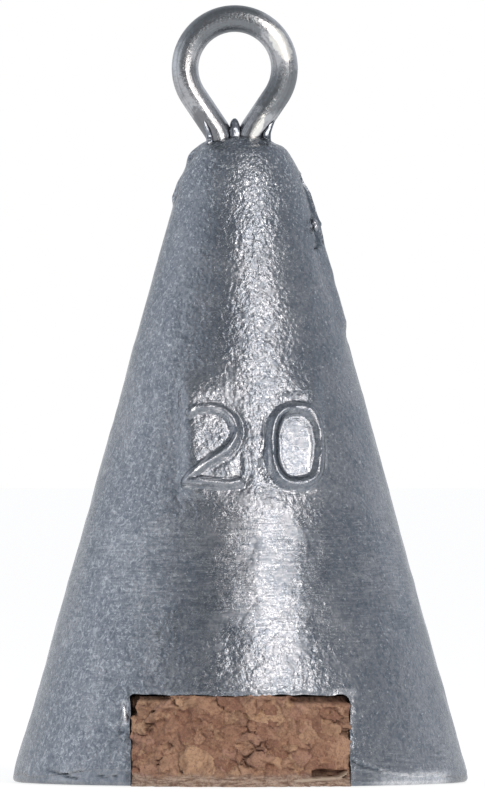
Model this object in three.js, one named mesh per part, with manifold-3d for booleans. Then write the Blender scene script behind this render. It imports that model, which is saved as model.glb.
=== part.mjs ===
// A sounding weight for anglers: a cast lead cone with a bent wire eye in its crown and a strip of
// pressed cork let into a slot across its base. The line runs through the eye and the hook is stuck
// in the cork, so the weight takes the hook down to the bottom and shows how deep the water is.
//
// Millimetres, +Z up. The origin is the centre of the base. The front faces -Y. The wire eye lies
// in the XZ plane, where the two halves of the mould met. The slot and its cork run along Y.

import * as THREE from "three";
import { mergeVertices } from "three/addons/utils/BufferGeometryUtils.js";
import Module from "manifold-3d";

const wasm = await Module();
wasm.setup();

const degrees = THREE.MathUtils.degToRad;

// Lead cone
const baseDiameter = 16.62;
const topDiameter = 3.72; // where the straight flanks would meet the top, before it is rounded
const bodyHeight = 23.5;
const rimHeight = 0.55; // the steeper band round the base
const rimLean = degrees(13);
const baseEdgeRadius = 0.15;
const taperRadius = 4.5; // the flank curls in faster towards the shoulder
const taperLean = degrees(34);
const shoulderRadius = 0.75;
const crownTilt = degrees(12); // where the shoulder runs out into the domed crown

// Slot for the cork
const slotWidth = 7.96;
const slotHeight = 3.3;
const slotCornerRadius = 0.4;

// Cork strip
const corkSideGap = 0.06;
const corkTopGap = 0.08;
const corkRecess = 0.1; // how far its ends lie behind the cone's surface
const corkCornerRadius = 0.3;

// Wire eye
const wireDiameter = 0.98;
const eyeInnerDiameter = 2.65;
const eyeRise = 2.56; // the middle of the loop above the crown
const eyeOffset = -0.23; // the eye was set a little to one side in the mould
const legLean = degrees(34); // how far the legs lean together under the loop
const legGap = 0.08; // between the legs where they enter the lead
const neckBend = 0.3; // how far each side of the corner the neck's bend reaches
const legDepth = 6.2; // from the crown down to the splayed feet
const footSplay = 0.55; // how far each foot turns out
const footLength = 1.3;
const footBend = 0.35;
const castGap = 0.03; // all round the wire inside the lead

// Flash that the casting left where the mould's halves met
const flashHeight = 0.1;
const flashWidth = 0.3;
const flashRunOut = 0.5;
const flashStart = 1.5; // below the crown, just under the shoulder
const flashEnd = { left: 2.6, right: 7.3 }; // below the crown, where each side has been trimmed
const finHeight = { left: 0.28, right: 0.72 }; // the fins outside the legs, above the crown
const finReach = { left: 0.06, right: 0.27 }; // how far each fin's foot stands out from its leg
const finWall = 0.05; // where a fin follows the leg above its foot
const peakWidth = 0.5; // the point of lead between the legs
const peakHeight = 0.72;
const peakThickness = 0.6;

// Fineness of the round surfaces
const coneSegments = 96;
const arcSteps = 4;
const wireSides = 16; // an even number
const wireSteps = 110;

const rimTopRadius =
  baseDiameter / 2 -
  baseEdgeRadius * (1 - Math.cos(rimLean)) -
  (rimHeight - baseEdgeRadius * (1 + Math.sin(rimLean))) * Math.tan(rimLean);
const flankLean = Math.atan((rimTopRadius - topDiameter / 2) / (bodyHeight - rimHeight));
const wireRadius = wireDiameter / 2;
const loopRadius = (eyeInnerDiameter + wireDiameter) / 2;
const legPitch = wireDiameter + legGap;
const eyeHeight = bodyHeight + eyeRise;
const past = 1; // how far a cutting tool runs past the lead

// The steps from three.js geometry to a solid that can be cut and joined, and back
function solidFrom(geometry) {
  const bare = geometry.clone();
  bare.deleteAttribute("normal");
  bare.deleteAttribute("uv");
  const merged = mergeVertices(bare, 1e-5);
  const mesh = new wasm.Mesh({
    numProp: 3,
    vertProperties: merged.attributes.position.array,
    triVerts: new Uint32Array(merged.index.array),
  });
  return new wasm.Manifold(mesh);
}

function geometryFrom(solid) {
  const mesh = solid.getMesh();
  const geometry = new THREE.BufferGeometry();
  geometry.setAttribute("position", new THREE.BufferAttribute(mesh.vertProperties, 3));
  geometry.setIndex(new THREE.BufferAttribute(mesh.triVerts, 1));
  const faceted = geometry.toNonIndexed();
  faceted.computeVertexNormals();
  return faceted;
}

// The cone's half section grown outwards by a distance, from the axis at the base round to the crown
function coneSection(grow) {
  const edge = baseEdgeRadius;
  const edgeCentre = baseDiameter / 2 + grow - edge;
  const flankRadius = (z) => rimTopRadius + grow - (z - rimHeight) * Math.tan(flankLean);

  // Three arcs follow each other up the top: the taper, the shoulder and the crown's dome. Each
  // touches the one before, so the height where the taper leaves the flank follows from the
  // body's height: it enters both the heights and the radii in a straight line.
  const taper = taperRadius + grow;
  const shoulder = shoulderRadius + grow;
  const crownLean = Math.PI / 2 - crownTilt;
  const inwards =
    taper * (Math.cos(flankLean) - Math.cos(taperLean)) +
    shoulder * (Math.cos(taperLean) - Math.cos(crownLean));
  const upwards =
    taper * (Math.sin(taperLean) - Math.sin(flankLean)) +
    shoulder * (Math.sin(crownLean) - Math.sin(taperLean));
  const domeShare = Math.tan(crownTilt / 2);
  const taperZ =
    (bodyHeight + grow - upwards - (flankRadius(0) - inwards) * domeShare) /
    (1 - domeShare * Math.tan(flankLean));
  const taperCentre = new THREE.Vector2(
    flankRadius(taperZ) - taper * Math.cos(flankLean),
    taperZ - taper * Math.sin(flankLean),
  );
  const shoulderCentre = new THREE.Vector2(
    taperCentre.x + (taper - shoulder) * Math.cos(taperLean),
    taperCentre.y + (taper - shoulder) * Math.sin(taperLean),
  );
  const domeRadius = (flankRadius(taperZ) - inwards) / Math.sin(crownTilt);

  const path = new THREE.Path();
  path.moveTo(0, 0);
  path.lineTo(edgeCentre, 0);
  path.absarc(edgeCentre, edge, edge, -Math.PI / 2, rimLean);
  path.lineTo(rimTopRadius + grow, rimHeight);
  path.absarc(taperCentre.x, taperCentre.y, taper, flankLean, taperLean);
  path.absarc(shoulderCentre.x, shoulderCentre.y, shoulder, taperLean, crownLean);
  path.absarc(0, bodyHeight + grow - domeRadius, domeRadius, crownLean, Math.PI / 2);
  const points = path.getPoints(arcSteps);
  points[points.length - 1].x = 0;
  return { points, flankRadius };
}

function coneSolid(grow) {
  const lathe = new THREE.LatheGeometry(coneSection(grow).points, coneSegments);
  return solidFrom(lathe.rotateX(Math.PI / 2));
}

// A shape drawn in X and Z, made a slab of a given thickness centred on the XZ plane
function slab(shape, thickness) {
  const geometry = new THREE.ExtrudeGeometry(shape, {
    depth: thickness,
    bevelEnabled: false,
    curveSegments: arcSteps * 2,
  });
  return geometry.rotateX(Math.PI / 2).translate(0, thickness / 2, 0);
}

// A bar's section that stands on the base line, with its two upper corners rounded
function archedSection(width, height, radius, below) {
  const half = width / 2;
  const shape = new THREE.Shape();
  shape.moveTo(-half, -below);
  shape.lineTo(half, -below);
  shape.lineTo(half, height - radius);
  shape.absarc(half - radius, height - radius, radius, 0, Math.PI / 2);
  shape.lineTo(-half + radius, height);
  shape.absarc(-half + radius, height - radius, radius, Math.PI / 2, Math.PI);
  return shape;
}

// One side's line of flash down the flank, running out at its top and where it was trimmed
function flashFin(endDepth, side) {
  const { flankRadius } = coneSection(0);
  const top = bodyHeight - flashStart;
  const end = bodyHeight - endDepth;
  const runOut = Math.min(flashRunOut, (top - end) * 0.45);
  const shape = new THREE.Shape();
  shape.moveTo(0, end);
  shape.lineTo(side * flankRadius(end), end);
  for (const z of [end + runOut, top - runOut]) {
    shape.lineTo(side * (flankRadius(z) + flashHeight), z);
  }
  shape.lineTo(side * (flankRadius(top) - flashHeight), top);
  shape.lineTo(0, top);
  return solidFrom(slab(shape, flashWidth));
}

// The wire's middle line in the loop's own frame, from one foot up round the loop to the other
class WireLine extends THREE.Curve {
  constructor(footExtra) {
    super();
    const neckX = legPitch / 2;
    const tangentX = loopRadius * Math.cos(legLean);
    const tangentZ = -loopRadius * Math.sin(legLean);
    const neckZ = tangentZ - (tangentX - neckX) / Math.tan(legLean);
    const footZ = bodyHeight - legDepth - eyeHeight;
    const neckTop = {
      x: neckX + neckBend * Math.sin(legLean),
      z: neckZ + neckBend * Math.cos(legLean),
    };
    const splay = Math.asin(footSplay / footLength);
    const tip = footLength + footExtra;

    const line = new THREE.Path();
    line.moveTo(-neckX - tip * Math.sin(splay), footZ - tip * Math.cos(splay));
    line.lineTo(-neckX - footBend * Math.sin(splay), footZ - footBend * Math.cos(splay));
    line.quadraticCurveTo(-neckX, footZ, -neckX, footZ + footBend);
    line.lineTo(-neckX, neckZ - neckBend);
    line.quadraticCurveTo(-neckX, neckZ, -neckTop.x, neckTop.z);
    line.lineTo(-tangentX, tangentZ);
    line.absarc(0, 0, loopRadius, Math.PI + legLean, -legLean, true);
    line.lineTo(neckTop.x, neckTop.z);
    line.quadraticCurveTo(neckX, neckZ, neckX, neckZ - neckBend);
    line.lineTo(neckX, footZ + footBend);
    line.quadraticCurveTo(
      neckX, footZ, neckX + footBend * Math.sin(splay), footZ - footBend * Math.cos(splay),
    );
    line.lineTo(neckX + tip * Math.sin(splay), footZ - tip * Math.cos(splay));
    this.line = line;
  }

  getPoint(t) {
    const p = this.line.getPoint(t);
    return new THREE.Vector3(p.x, 0, p.y);
  }
}

function sweptWire(radius, footExtra) {
  const section = new THREE.Shape();
  section.absarc(0, 0, radius, 0, Math.PI * 2);
  return new THREE.ExtrudeGeometry(section, {
    steps: wireSteps,
    extrudePath: new WireLine(footExtra),
    bevelEnabled: false,
    curveSegments: wireSides / 2,
  });
}

const placedWire = (radius, footExtra) =>
  solidFrom(sweptWire(radius, footExtra).translate(eyeOffset, 0, eyeHeight));

// Lead that crept up between the mould's halves: a fin outside each leg, and a point between them
const flashRoot = bodyHeight - shoulderRadius;

function legFin(height, reach, side) {
  const top = bodyHeight + height;
  const legMiddle =
    loopRadius * Math.cos(legLean) -
    (eyeHeight - loopRadius * Math.sin(legLean) - top) * Math.tan(legLean);
  const tip = legMiddle + (wireRadius + castGap + finWall) / Math.cos(legLean);
  const foot = legPitch / 2 + wireRadius + castGap + reach;
  const shape = new THREE.Shape();
  shape.moveTo(side * legPitch / 2, flashRoot);
  shape.lineTo(side * foot, flashRoot);
  shape.lineTo(side * foot, top - (tip - foot) / Math.tan(legLean));
  shape.lineTo(side * tip, top);
  shape.lineTo(side * legMiddle, top);
  return solidFrom(slab(shape, flashWidth).translate(eyeOffset, 0, 0));
}

function neckPeak() {
  const shape = new THREE.Shape();
  shape.moveTo(-peakWidth / 2, flashRoot);
  shape.lineTo(peakWidth / 2, flashRoot);
  shape.lineTo(peakWidth / 2, bodyHeight);
  shape.lineTo(0, bodyHeight + peakHeight);
  shape.lineTo(-peakWidth / 2, bodyHeight);
  return solidFrom(slab(shape, peakThickness).translate(eyeOffset, 0, 0));
}

function leadCone() {
  const slot = slab(archedSection(slotWidth, slotHeight, slotCornerRadius, past), baseDiameter + past);
  return coneSolid(0)
    .add(flashFin(flashEnd.left, -1))
    .add(flashFin(flashEnd.right, 1))
    .add(legFin(finHeight.left, finReach.left, -1))
    .add(legFin(finHeight.right, finReach.right, 1))
    .add(neckPeak())
    .subtract(placedWire(wireRadius + castGap, castGap))
    .subtract(solidFrom(slot));
}

// The cork is a bar cut off at both ends along the cone's surface
function corkStrip() {
  const width = slotWidth - 2 * corkSideGap;
  const height = slotHeight - corkTopGap;
  const bar = slab(archedSection(width, height, corkCornerRadius, 0), baseDiameter + past);
  return solidFrom(bar).intersect(coneSolid(-corkRecess));
}

function metal(color, roughness) {
  return new THREE.MeshStandardMaterial({ color, roughness, metalness: 1 });
}

function named(name, geometry, material) {
  const mesh = new THREE.Mesh(geometry, material);
  mesh.name = name;
  return mesh;
}

const lead = metal(0x767d86, 0.45);
const steel = metal(0xa3a4a4, 0.25);
const cork = new THREE.MeshStandardMaterial({ color: 0x9a7358, roughness: 0.9, metalness: 0 });

const plummet = new THREE.Group();
plummet.add(named("lead_cone", geometryFrom(leadCone()), lead));
plummet.add(named("cork_strip", geometryFrom(corkStrip()), cork));

const wireEye = named("wire_eye", sweptWire(wireRadius, 0), steel);
wireEye.position.set(eyeOffset, 0, eyeHeight);
plummet.add(wireEye);

export default plummet;
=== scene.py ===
"""The looks of an angler's sounding weight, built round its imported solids.

Lengths in the classes are millimetres in the part's own frame: the origin is the centre of the
base, +Z is up, the front with the raised number faces -Y and +X is to the right. Azimuths are
degrees round the axis, 0 at the front and 90 on the right. Meshes are written in metres.
"""

import logging
from collections.abc import Callable
from dataclasses import dataclass, field
from enum import Enum
from math import asin, atan, ceil, cos, log, pi, radians, sin, tan
from typing import Any

import bpy
import numpy as np
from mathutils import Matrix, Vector


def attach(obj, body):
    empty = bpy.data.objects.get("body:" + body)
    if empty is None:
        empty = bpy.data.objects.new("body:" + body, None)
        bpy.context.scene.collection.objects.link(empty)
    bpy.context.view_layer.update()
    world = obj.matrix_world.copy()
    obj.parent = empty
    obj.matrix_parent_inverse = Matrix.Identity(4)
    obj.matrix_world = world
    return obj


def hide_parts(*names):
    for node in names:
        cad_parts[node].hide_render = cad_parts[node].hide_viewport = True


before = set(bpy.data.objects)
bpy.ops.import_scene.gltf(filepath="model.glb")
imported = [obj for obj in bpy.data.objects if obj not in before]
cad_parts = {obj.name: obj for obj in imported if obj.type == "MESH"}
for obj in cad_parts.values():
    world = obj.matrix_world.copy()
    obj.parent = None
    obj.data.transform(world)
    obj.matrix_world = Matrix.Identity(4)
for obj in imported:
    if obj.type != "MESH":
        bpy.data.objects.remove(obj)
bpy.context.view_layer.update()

MM = 0.001
TINY = 1e-9
LOG = logging.getLogger("plummet")

Array = np.ndarray
Colour = tuple[float, float, float, float]
Curve = tuple[tuple[float, ...], ...]
Object = bpy.types.Object
Material = bpy.types.Material
Mesh = bpy.types.Mesh
Socket = bpy.types.NodeSocket


# Plain helpers for shapes


def ease(low: Any, high: Any, value: Array) -> Array:
    """Eases from 0 where a value is low to 1 where it is high; low may be above high."""
    share = np.clip((value - low) / (high - low), 0, 1)
    return share * share * (3 - 2 * share)


def band(foot: float, low: float, high: float, head: float, value: Array) -> Array:
    """1 where a value is from low to high, easing to 0 at the foot and the head."""
    return ease(foot, low, value) * ease(head, high, value)


def hump(value: Array, middle: float, width: float) -> Array:
    """1 where a value is in the middle, fading over a width to both sides."""
    return np.exp(-(((value - middle) / width) ** 2))


def stations(start: float, zones: tuple[tuple[float, float], ...]) -> Array:
    """Places along a line that are closer together in some zones than in others.

    Args:
        start: the first place.
        zones: for each zone its far end and the longest step in it.

    Returns:
        The places, from the start to the end of the last zone.
    """
    places = [np.array([start])]
    for end, step in zones:
        count = max(1, ceil(abs(end - start) / step - TINY))
        places.append(np.linspace(start, end, count + 1)[1:])
        start = end
    return np.concatenate(places)


def rounded_line(points: Curve, per_span: int = 6) -> Array:
    """Draws a smooth line through points.

    Args:
        points: the points that it goes through.
        per_span: how many short pieces stand between two points.

    Returns:
        The points of the smooth line, one a row.
    """
    knots = np.array(points, float)
    padded = np.vstack([2 * knots[0] - knots[1], knots, 2 * knots[-1] - knots[-2]])
    line = []
    for a, b, c, d in zip(padded, padded[1:], padded[2:], padded[3:]):
        for t in np.arange(per_span) / per_span:
            curved = 2 * b + (c - a) * t + (2 * a - 5 * b + 4 * c - d) * t**2
            line.append(0.5 * (curved + (3 * b - a - 3 * c + d) * t**3))
    return np.array([*line, knots[-1]])


def distance_to_line(places: Array, line: Array) -> Array:
    """Measures how far places in a plane lie from a line of short straight pieces.

    Args:
        places: the places, with two numbers on the last axis.
        line: the line's points, one a row.

    Returns:
        The distances.
    """
    nearest = np.full(places.shape[:-1], np.inf)
    for a, b in zip(line, line[1:]):
        along = b - a
        share = np.clip(((places - a) @ along) / max(along @ along, TINY), 0, 1)
        gap = places - (a + share[..., None] * along)
        nearest = np.minimum(nearest, np.hypot(gap[..., 0], gap[..., 1]))
    return nearest


def distance_to_curve(places: Array, points: Curve) -> Array:
    """How far places in a plane lie from the smooth line through points."""
    return distance_to_line(places, rounded_line(points))


def superellipse(turn: Array, power: float, other: float) -> tuple[Array, Array]:
    """The two coordinates of a round shape that each power below 1 makes squarer."""
    across, up = np.cos(turn), np.sin(turn)
    return np.sign(across) * np.abs(across) ** power, np.sign(up) * np.abs(up) ** other


class Unevenness:
    """Smooth random relief in space, the same on every run.

    Places are shifted by a number before it is read so that reliefs of one seed differ.
    """

    def __init__(self, seed: int, cells: int = 32) -> None:
        """Fills a block with random values, cells along each side, after which it repeats."""
        self.cells = cells
        self.lattice = np.random.default_rng(seed).uniform(-1, 1, (cells,) * 3)

    def at(self, places: Array, size: float) -> Array:
        """Reads the relief.

        Args:
            places: places in space, with three numbers on the last axis.
            size: the size of its humps.

        Returns:
            Values from -1 to 1.
        """
        scaled = places / size
        low = np.floor(scaled).astype(int)
        part = scaled - low
        part = part * part * (3 - 2 * part)
        total = np.zeros(places.shape[:-1])
        for corner in np.ndindex(2, 2, 2):
            weight = np.prod(np.where(corner, part, 1 - part), axis=-1)
            index = (low + np.array(corner)) % self.cells
            total += weight * self.lattice[index[..., 0], index[..., 1], index[..., 2]]
        return total

    def layers(self, places: Array, *waves: tuple[float, float, float]) -> Array:
        """Adds up the relief of several waves, each given as its height, size and shift."""
        return sum(height * self.at(places + shift, size) for height, size, shift in waves)


def plain_mesh(name: str, places: Array, faces: list[tuple[int, ...]]) -> Mesh:
    """Makes a mesh.

    Args:
        name: the mesh's name.
        places: its corners in millimetres, one a row.
        faces: its faces, as corner numbers.

    Returns:
        The mesh, in metres.
    """
    mesh = bpy.data.meshes.new(name)
    mesh.from_pydata((places * MM).tolist(), [], faces)
    mesh.validate()
    mesh.update()
    return mesh


def placed(name: str, data: Any) -> Object:
    """Puts a mesh, a lamp or a camera into the scene as an object at the origin.

    Args:
        name: the object's name.
        data: the mesh, lamp or camera.

    Returns:
        The object.
    """
    thing = bpy.data.objects.new(name, data)
    bpy.context.scene.collection.objects.link(thing)
    return thing


def lofted(name: str, rings: Array, fans: bool = False) -> Object:
    """Makes a closed skin over rings of points.

    Args:
        name: the object's name.
        rings: the rings from the first to the last, each turning anticlockwise seen from ahead
            of the last one, as (ring, corner, xyz).
        fans: whether each end is a fan of faces round its middle, not one flat face.

    Returns:
        The object.
    """
    count, sides = rings.shape[:2]
    grid = np.arange(count * sides).reshape(count, sides)
    after = np.roll(grid, -1, axis=1)
    quads = np.stack([grid[:-1], after[:-1], after[1:], grid[1:]], axis=-1).reshape(-1, 4)
    faces = [tuple(quad) for quad in quads.tolist()]
    corners = rings.reshape(-1, 3)
    if fans:
        corners = np.vstack([corners, rings[0].mean(0), rings[-1].mean(0)])
        faces += [(b, a, grid.size) for a, b in zip(grid[0].tolist(), after[0].tolist())]
        faces += [(a, b, grid.size + 1) for a, b in zip(grid[-1].tolist(), after[-1].tolist())]
    else:
        faces += [tuple(grid[0][::-1].tolist()), tuple(grid[-1].tolist())]
    return placed(name, plain_mesh(name, corners, faces))


class Joining(Enum):
    """How one solid is put together with another."""

    ADD = "UNION"
    CUT = "DIFFERENCE"


def combined(body: Object, other: Object, how: Joining) -> None:
    """Adds one solid to another or cuts it out, and takes the other away.

    Args:
        body: the solid that changes.
        other: the solid that is added or cut out.
        how: whether it is added or cut out.
    """
    modifier = body.modifiers.new(how.name.title(), "BOOLEAN")
    modifier.operation = how.value
    modifier.solver = "MANIFOLD"
    modifier.object = other
    settled(body)
    old = other.data
    bpy.data.objects.remove(other)
    bpy.data.meshes.remove(old)


def settled(thing: Object) -> None:
    """Turns an object's modifiers into a plain mesh.

    Args:
        thing: the object.
    """
    view = bpy.context.evaluated_depsgraph_get()
    mesh = bpy.data.meshes.new_from_object(thing.evaluated_get(view))
    thing.modifiers.clear()
    old = thing.data
    thing.data = mesh
    mesh.name = thing.name
    if old.users == 0:
        bpy.data.meshes.remove(old)


def corner_places(mesh: Mesh) -> Array:
    """The mesh's corners in millimetres, one a row.

    Args:
        mesh: the mesh.

    Returns:
        The places.
    """
    flat = np.zeros(len(mesh.vertices) * 3, np.float32)
    mesh.vertices.foreach_get("co", flat)
    return flat.reshape(-1, 3).astype(float) / MM


class Kept(Enum):
    """What a mesh keeps its numbers by."""

    CORNER = "POINT"
    FACE_CORNER = "CORNER"


def keep(mesh: Mesh, name: str, values: Array, by: Kept = Kept.CORNER) -> None:
    """Keeps numbers, or places in millimetres, in a mesh for its finish to read.

    Args:
        mesh: the mesh.
        name: the attribute's name.
        values: the numbers, or the places one a row.
        by: whether each face has its own values at its corners.
    """
    if values.ndim == 1:
        attribute = mesh.attributes.new(name, "FLOAT", by.value)
        attribute.data.foreach_set("value", values.astype(np.float32))
    else:
        attribute = mesh.attributes.new(name, "FLOAT_VECTOR", by.value)
        attribute.data.foreach_set("vector", (values * MM).astype(np.float32).ravel())


def rounded_shading(mesh: Mesh, crease: float) -> None:
    """Shades a mesh as round, but for edges that turn more than an angle in degrees."""
    mesh.shade_smooth()
    mesh.set_sharp_from_angle(angle=radians(crease))


# Node networks


def operator(operation: str, reflected: bool = False) -> Callable[["Value", Any], "Value"]:
    """Makes the method behind one of Python's operators on a Value.

    Args:
        operation: the operation of the Math node that it adds.
        reflected: whether the Value stands on the right.

    Returns:
        The method.
    """

    def method(value: "Value", other: Any) -> "Value":
        """Adds the Math node."""
        terms = (other, value) if reflected else (value, other)
        return value.network.value("ShaderNodeMath", 0, dict(enumerate(terms)), operation=operation)

    return method


@dataclass(frozen=True)
class Value:
    """A number that a node gives. Python's operators on it add Math nodes."""

    network: "Network"
    socket: Socket

    __add__ = __radd__ = operator("ADD")
    __sub__ = operator("SUBTRACT")
    __rsub__ = operator("SUBTRACT", reflected=True)
    __mul__ = __rmul__ = operator("MULTIPLY")
    __truediv__ = operator("DIVIDE")
    __rtruediv__ = operator("DIVIDE", reflected=True)
    greater = operator("MAXIMUM")

    def eased(self, low: float, high: float, start: float = 0.0, end: float = 1.0) -> "Value":
        """Eases from the start, where this value is low, to the end, where it is high."""
        given = {"Value": self, "From Min": low, "From Max": high, "To Min": start, "To Max": end}
        return self.network.value("ShaderNodeMapRange", 0, given, interpolation_type="SMOOTHSTEP")

    def between(self, foot: float, low: float, high: float, head: float) -> "Value":
        """1 where this value is from low to high, easing to 0 at the foot and the head."""
        return self.eased(foot, low) * self.eased(head, high)


Inputs = dict[str | int, Any] | None


class Network:
    """A tree of nodes that is put together by one method."""

    def __init__(self, tree: bpy.types.NodeTree) -> None:
        """Empties the tree that it fills."""
        self.tree = tree
        tree.nodes.clear()

    def node(self, kind: str, inputs: Inputs = None, **settings: Any) -> bpy.types.Node:
        """Adds a node.

        Args:
            kind: the node's type.
            inputs: what its sockets hold or are linked to, by name or number. None leaves a
                socket as it is.
            settings: its own settings, set before its inputs; stops are a ramp's places and
                colours.

        Returns:
            The node.
        """
        made = self.tree.nodes.new(kind)
        stops = settings.pop("stops", ())
        for place, _ in stops[2:]:
            made.color_ramp.elements.new(place)
        for i, (place, colour) in enumerate(stops):
            stop = made.color_ramp.elements[i]
            stop.position, stop.color = place, colour
        for name, value in settings.items():
            setattr(made, name, value)
        for key, value in (inputs or {}).items():
            if isinstance(value, (Value, Socket)):
                self.tree.links.new(getattr(value, "socket", value), made.inputs[key])
            elif value is not None:
                made.inputs[key].default_value = value
        return made

    def out(self, kind: str, output: str | int, inputs: Inputs = None, **settings: Any) -> Socket:
        """Adds a node and gives its output of that name or number."""
        return self.node(kind, inputs, **settings).outputs[output]

    def value(self, kind: str, output: str | int, inputs: Inputs = None, **settings: Any) -> Value:
        """Adds a node and gives its output of that name or number for use in sums."""
        return Value(self, self.out(kind, output, inputs, **settings))

    def any_ray(self, *kinds: str) -> Value:
        """1 for rays of any of some kinds, 0 for the others.

        Args:
            kinds: the kinds, as the light path node names them.

        Returns:
            The share.
        """
        ray = self.node("ShaderNodeLightPath").outputs
        found = Value(self, ray[f"Is {kinds[0]} Ray"])
        for kind in kinds[1:]:
            found = found.greater(Value(self, ray[f"Is {kind} Ray"]))
        return found


class Surface(Network):
    """The node network of one finish."""

    def __init__(self, name: str) -> None:
        """Starts a material of that name.

        Args:
            name: the finish's name.
        """
        self.material = bpy.data.materials.new(name)
        self.material.use_nodes = True
        super().__init__(self.material.node_tree)
        self.place = self.out("ShaderNodeTexCoord", "Object")

    def share(self, name: str) -> Value:
        """A number that the mesh keeps for each corner."""
        return self.value("ShaderNodeAttribute", "Fac", attribute_name=name)

    def along(self, axis: str) -> Value:
        """The place on the object along one axis, in millimetres."""
        return self.value("ShaderNodeSeparateXYZ", axis, {"Vector": self.place}) / MM

    def layered(self, times: float) -> Socket:
        """The place on the object, so many times as far up, for noise in level layers."""
        given = {"Vector": self.place, "Scale": (1, 1, times)}
        return self.out("ShaderNodeMapping", "Vector", given)

    def grain(
        self, size: float, detail: float = 3, coarse: float = 0.5, warp: float = 0, place: Any = None
    ) -> Value:
        """Cloudy noise.

        Args:
            size: the size of its clouds in millimetres.
            detail: how many finer layers it has.
            coarse: how strong the finer layers are.
            warp: how far it is bent.
            place: the coordinates, or None for the place on the object.

        Returns:
            Values about 0.5.
        """
        given = {"Vector": self.place if place is None else place, "Scale": 1 / (size * MM)}
        given |= {"Detail": detail, "Roughness": coarse, "Distortion": warp}
        return self.value("ShaderNodeTexNoise", 0, given)

    def cells(self, size: float, softness: float) -> Value:
        """Distance from the middles of random cells of a size, which run together when soft."""
        given = {"Vector": self.place, "Scale": 1 / (size * MM), "Smoothness": softness}
        return self.value("ShaderNodeTexVoronoi", "Distance", given, feature="SMOOTH_F1")

    def coated(self, colour: Any, *coats: tuple[Any, Any]) -> Socket:
        """Lays coats over a colour.

        Args:
            colour: the colour below them.
            coats: for each coat how much of it covers, and its colour.

        Returns:
            The colour that shows.
        """
        # A Mix node's colours are its inputs 6 and 7 and its output 2.
        for share, coat in coats:
            colour = self.out("ShaderNodeMix", 2, {0: share, 6: colour, 7: coat}, data_type="RGBA")
        return colour

    def bent(self, *heights: tuple[Any, float]) -> Socket:
        """Bends the normal by heights, one on top of the other.

        Args:
            heights: for each its share, 0 to 1, and what a share of 1 is in millimetres.

        Returns:
            The normal.
        """
        normal = None
        for height, depth in heights:
            given = {"Distance": depth * MM, "Height": height, "Normal": normal}
            normal = self.out("ShaderNodeBump", "Normal", given)
        return normal

    def finish(self, inputs: Inputs) -> Material:
        """Closes the network with its shader.

        Args:
            inputs: what the shader's sockets hold or are linked to.

        Returns:
            The material.
        """
        shader = self.out("ShaderNodeBsdfPrincipled", "BSDF", inputs)
        self.node("ShaderNodeOutputMaterial", {"Surface": shader})
        return self.material


def opaque(red: float, green: float, blue: float) -> Colour:
    """A colour, from its shares as they are seen on a screen, 0 to 255."""
    shares = [share / 255 for share in (red, green, blue)]
    return (*(c / 12.92 if c <= 0.04045 else ((c + 0.055) / 1.055) ** 2.4 for c in shares), 1.0)


# Finishes


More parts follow.
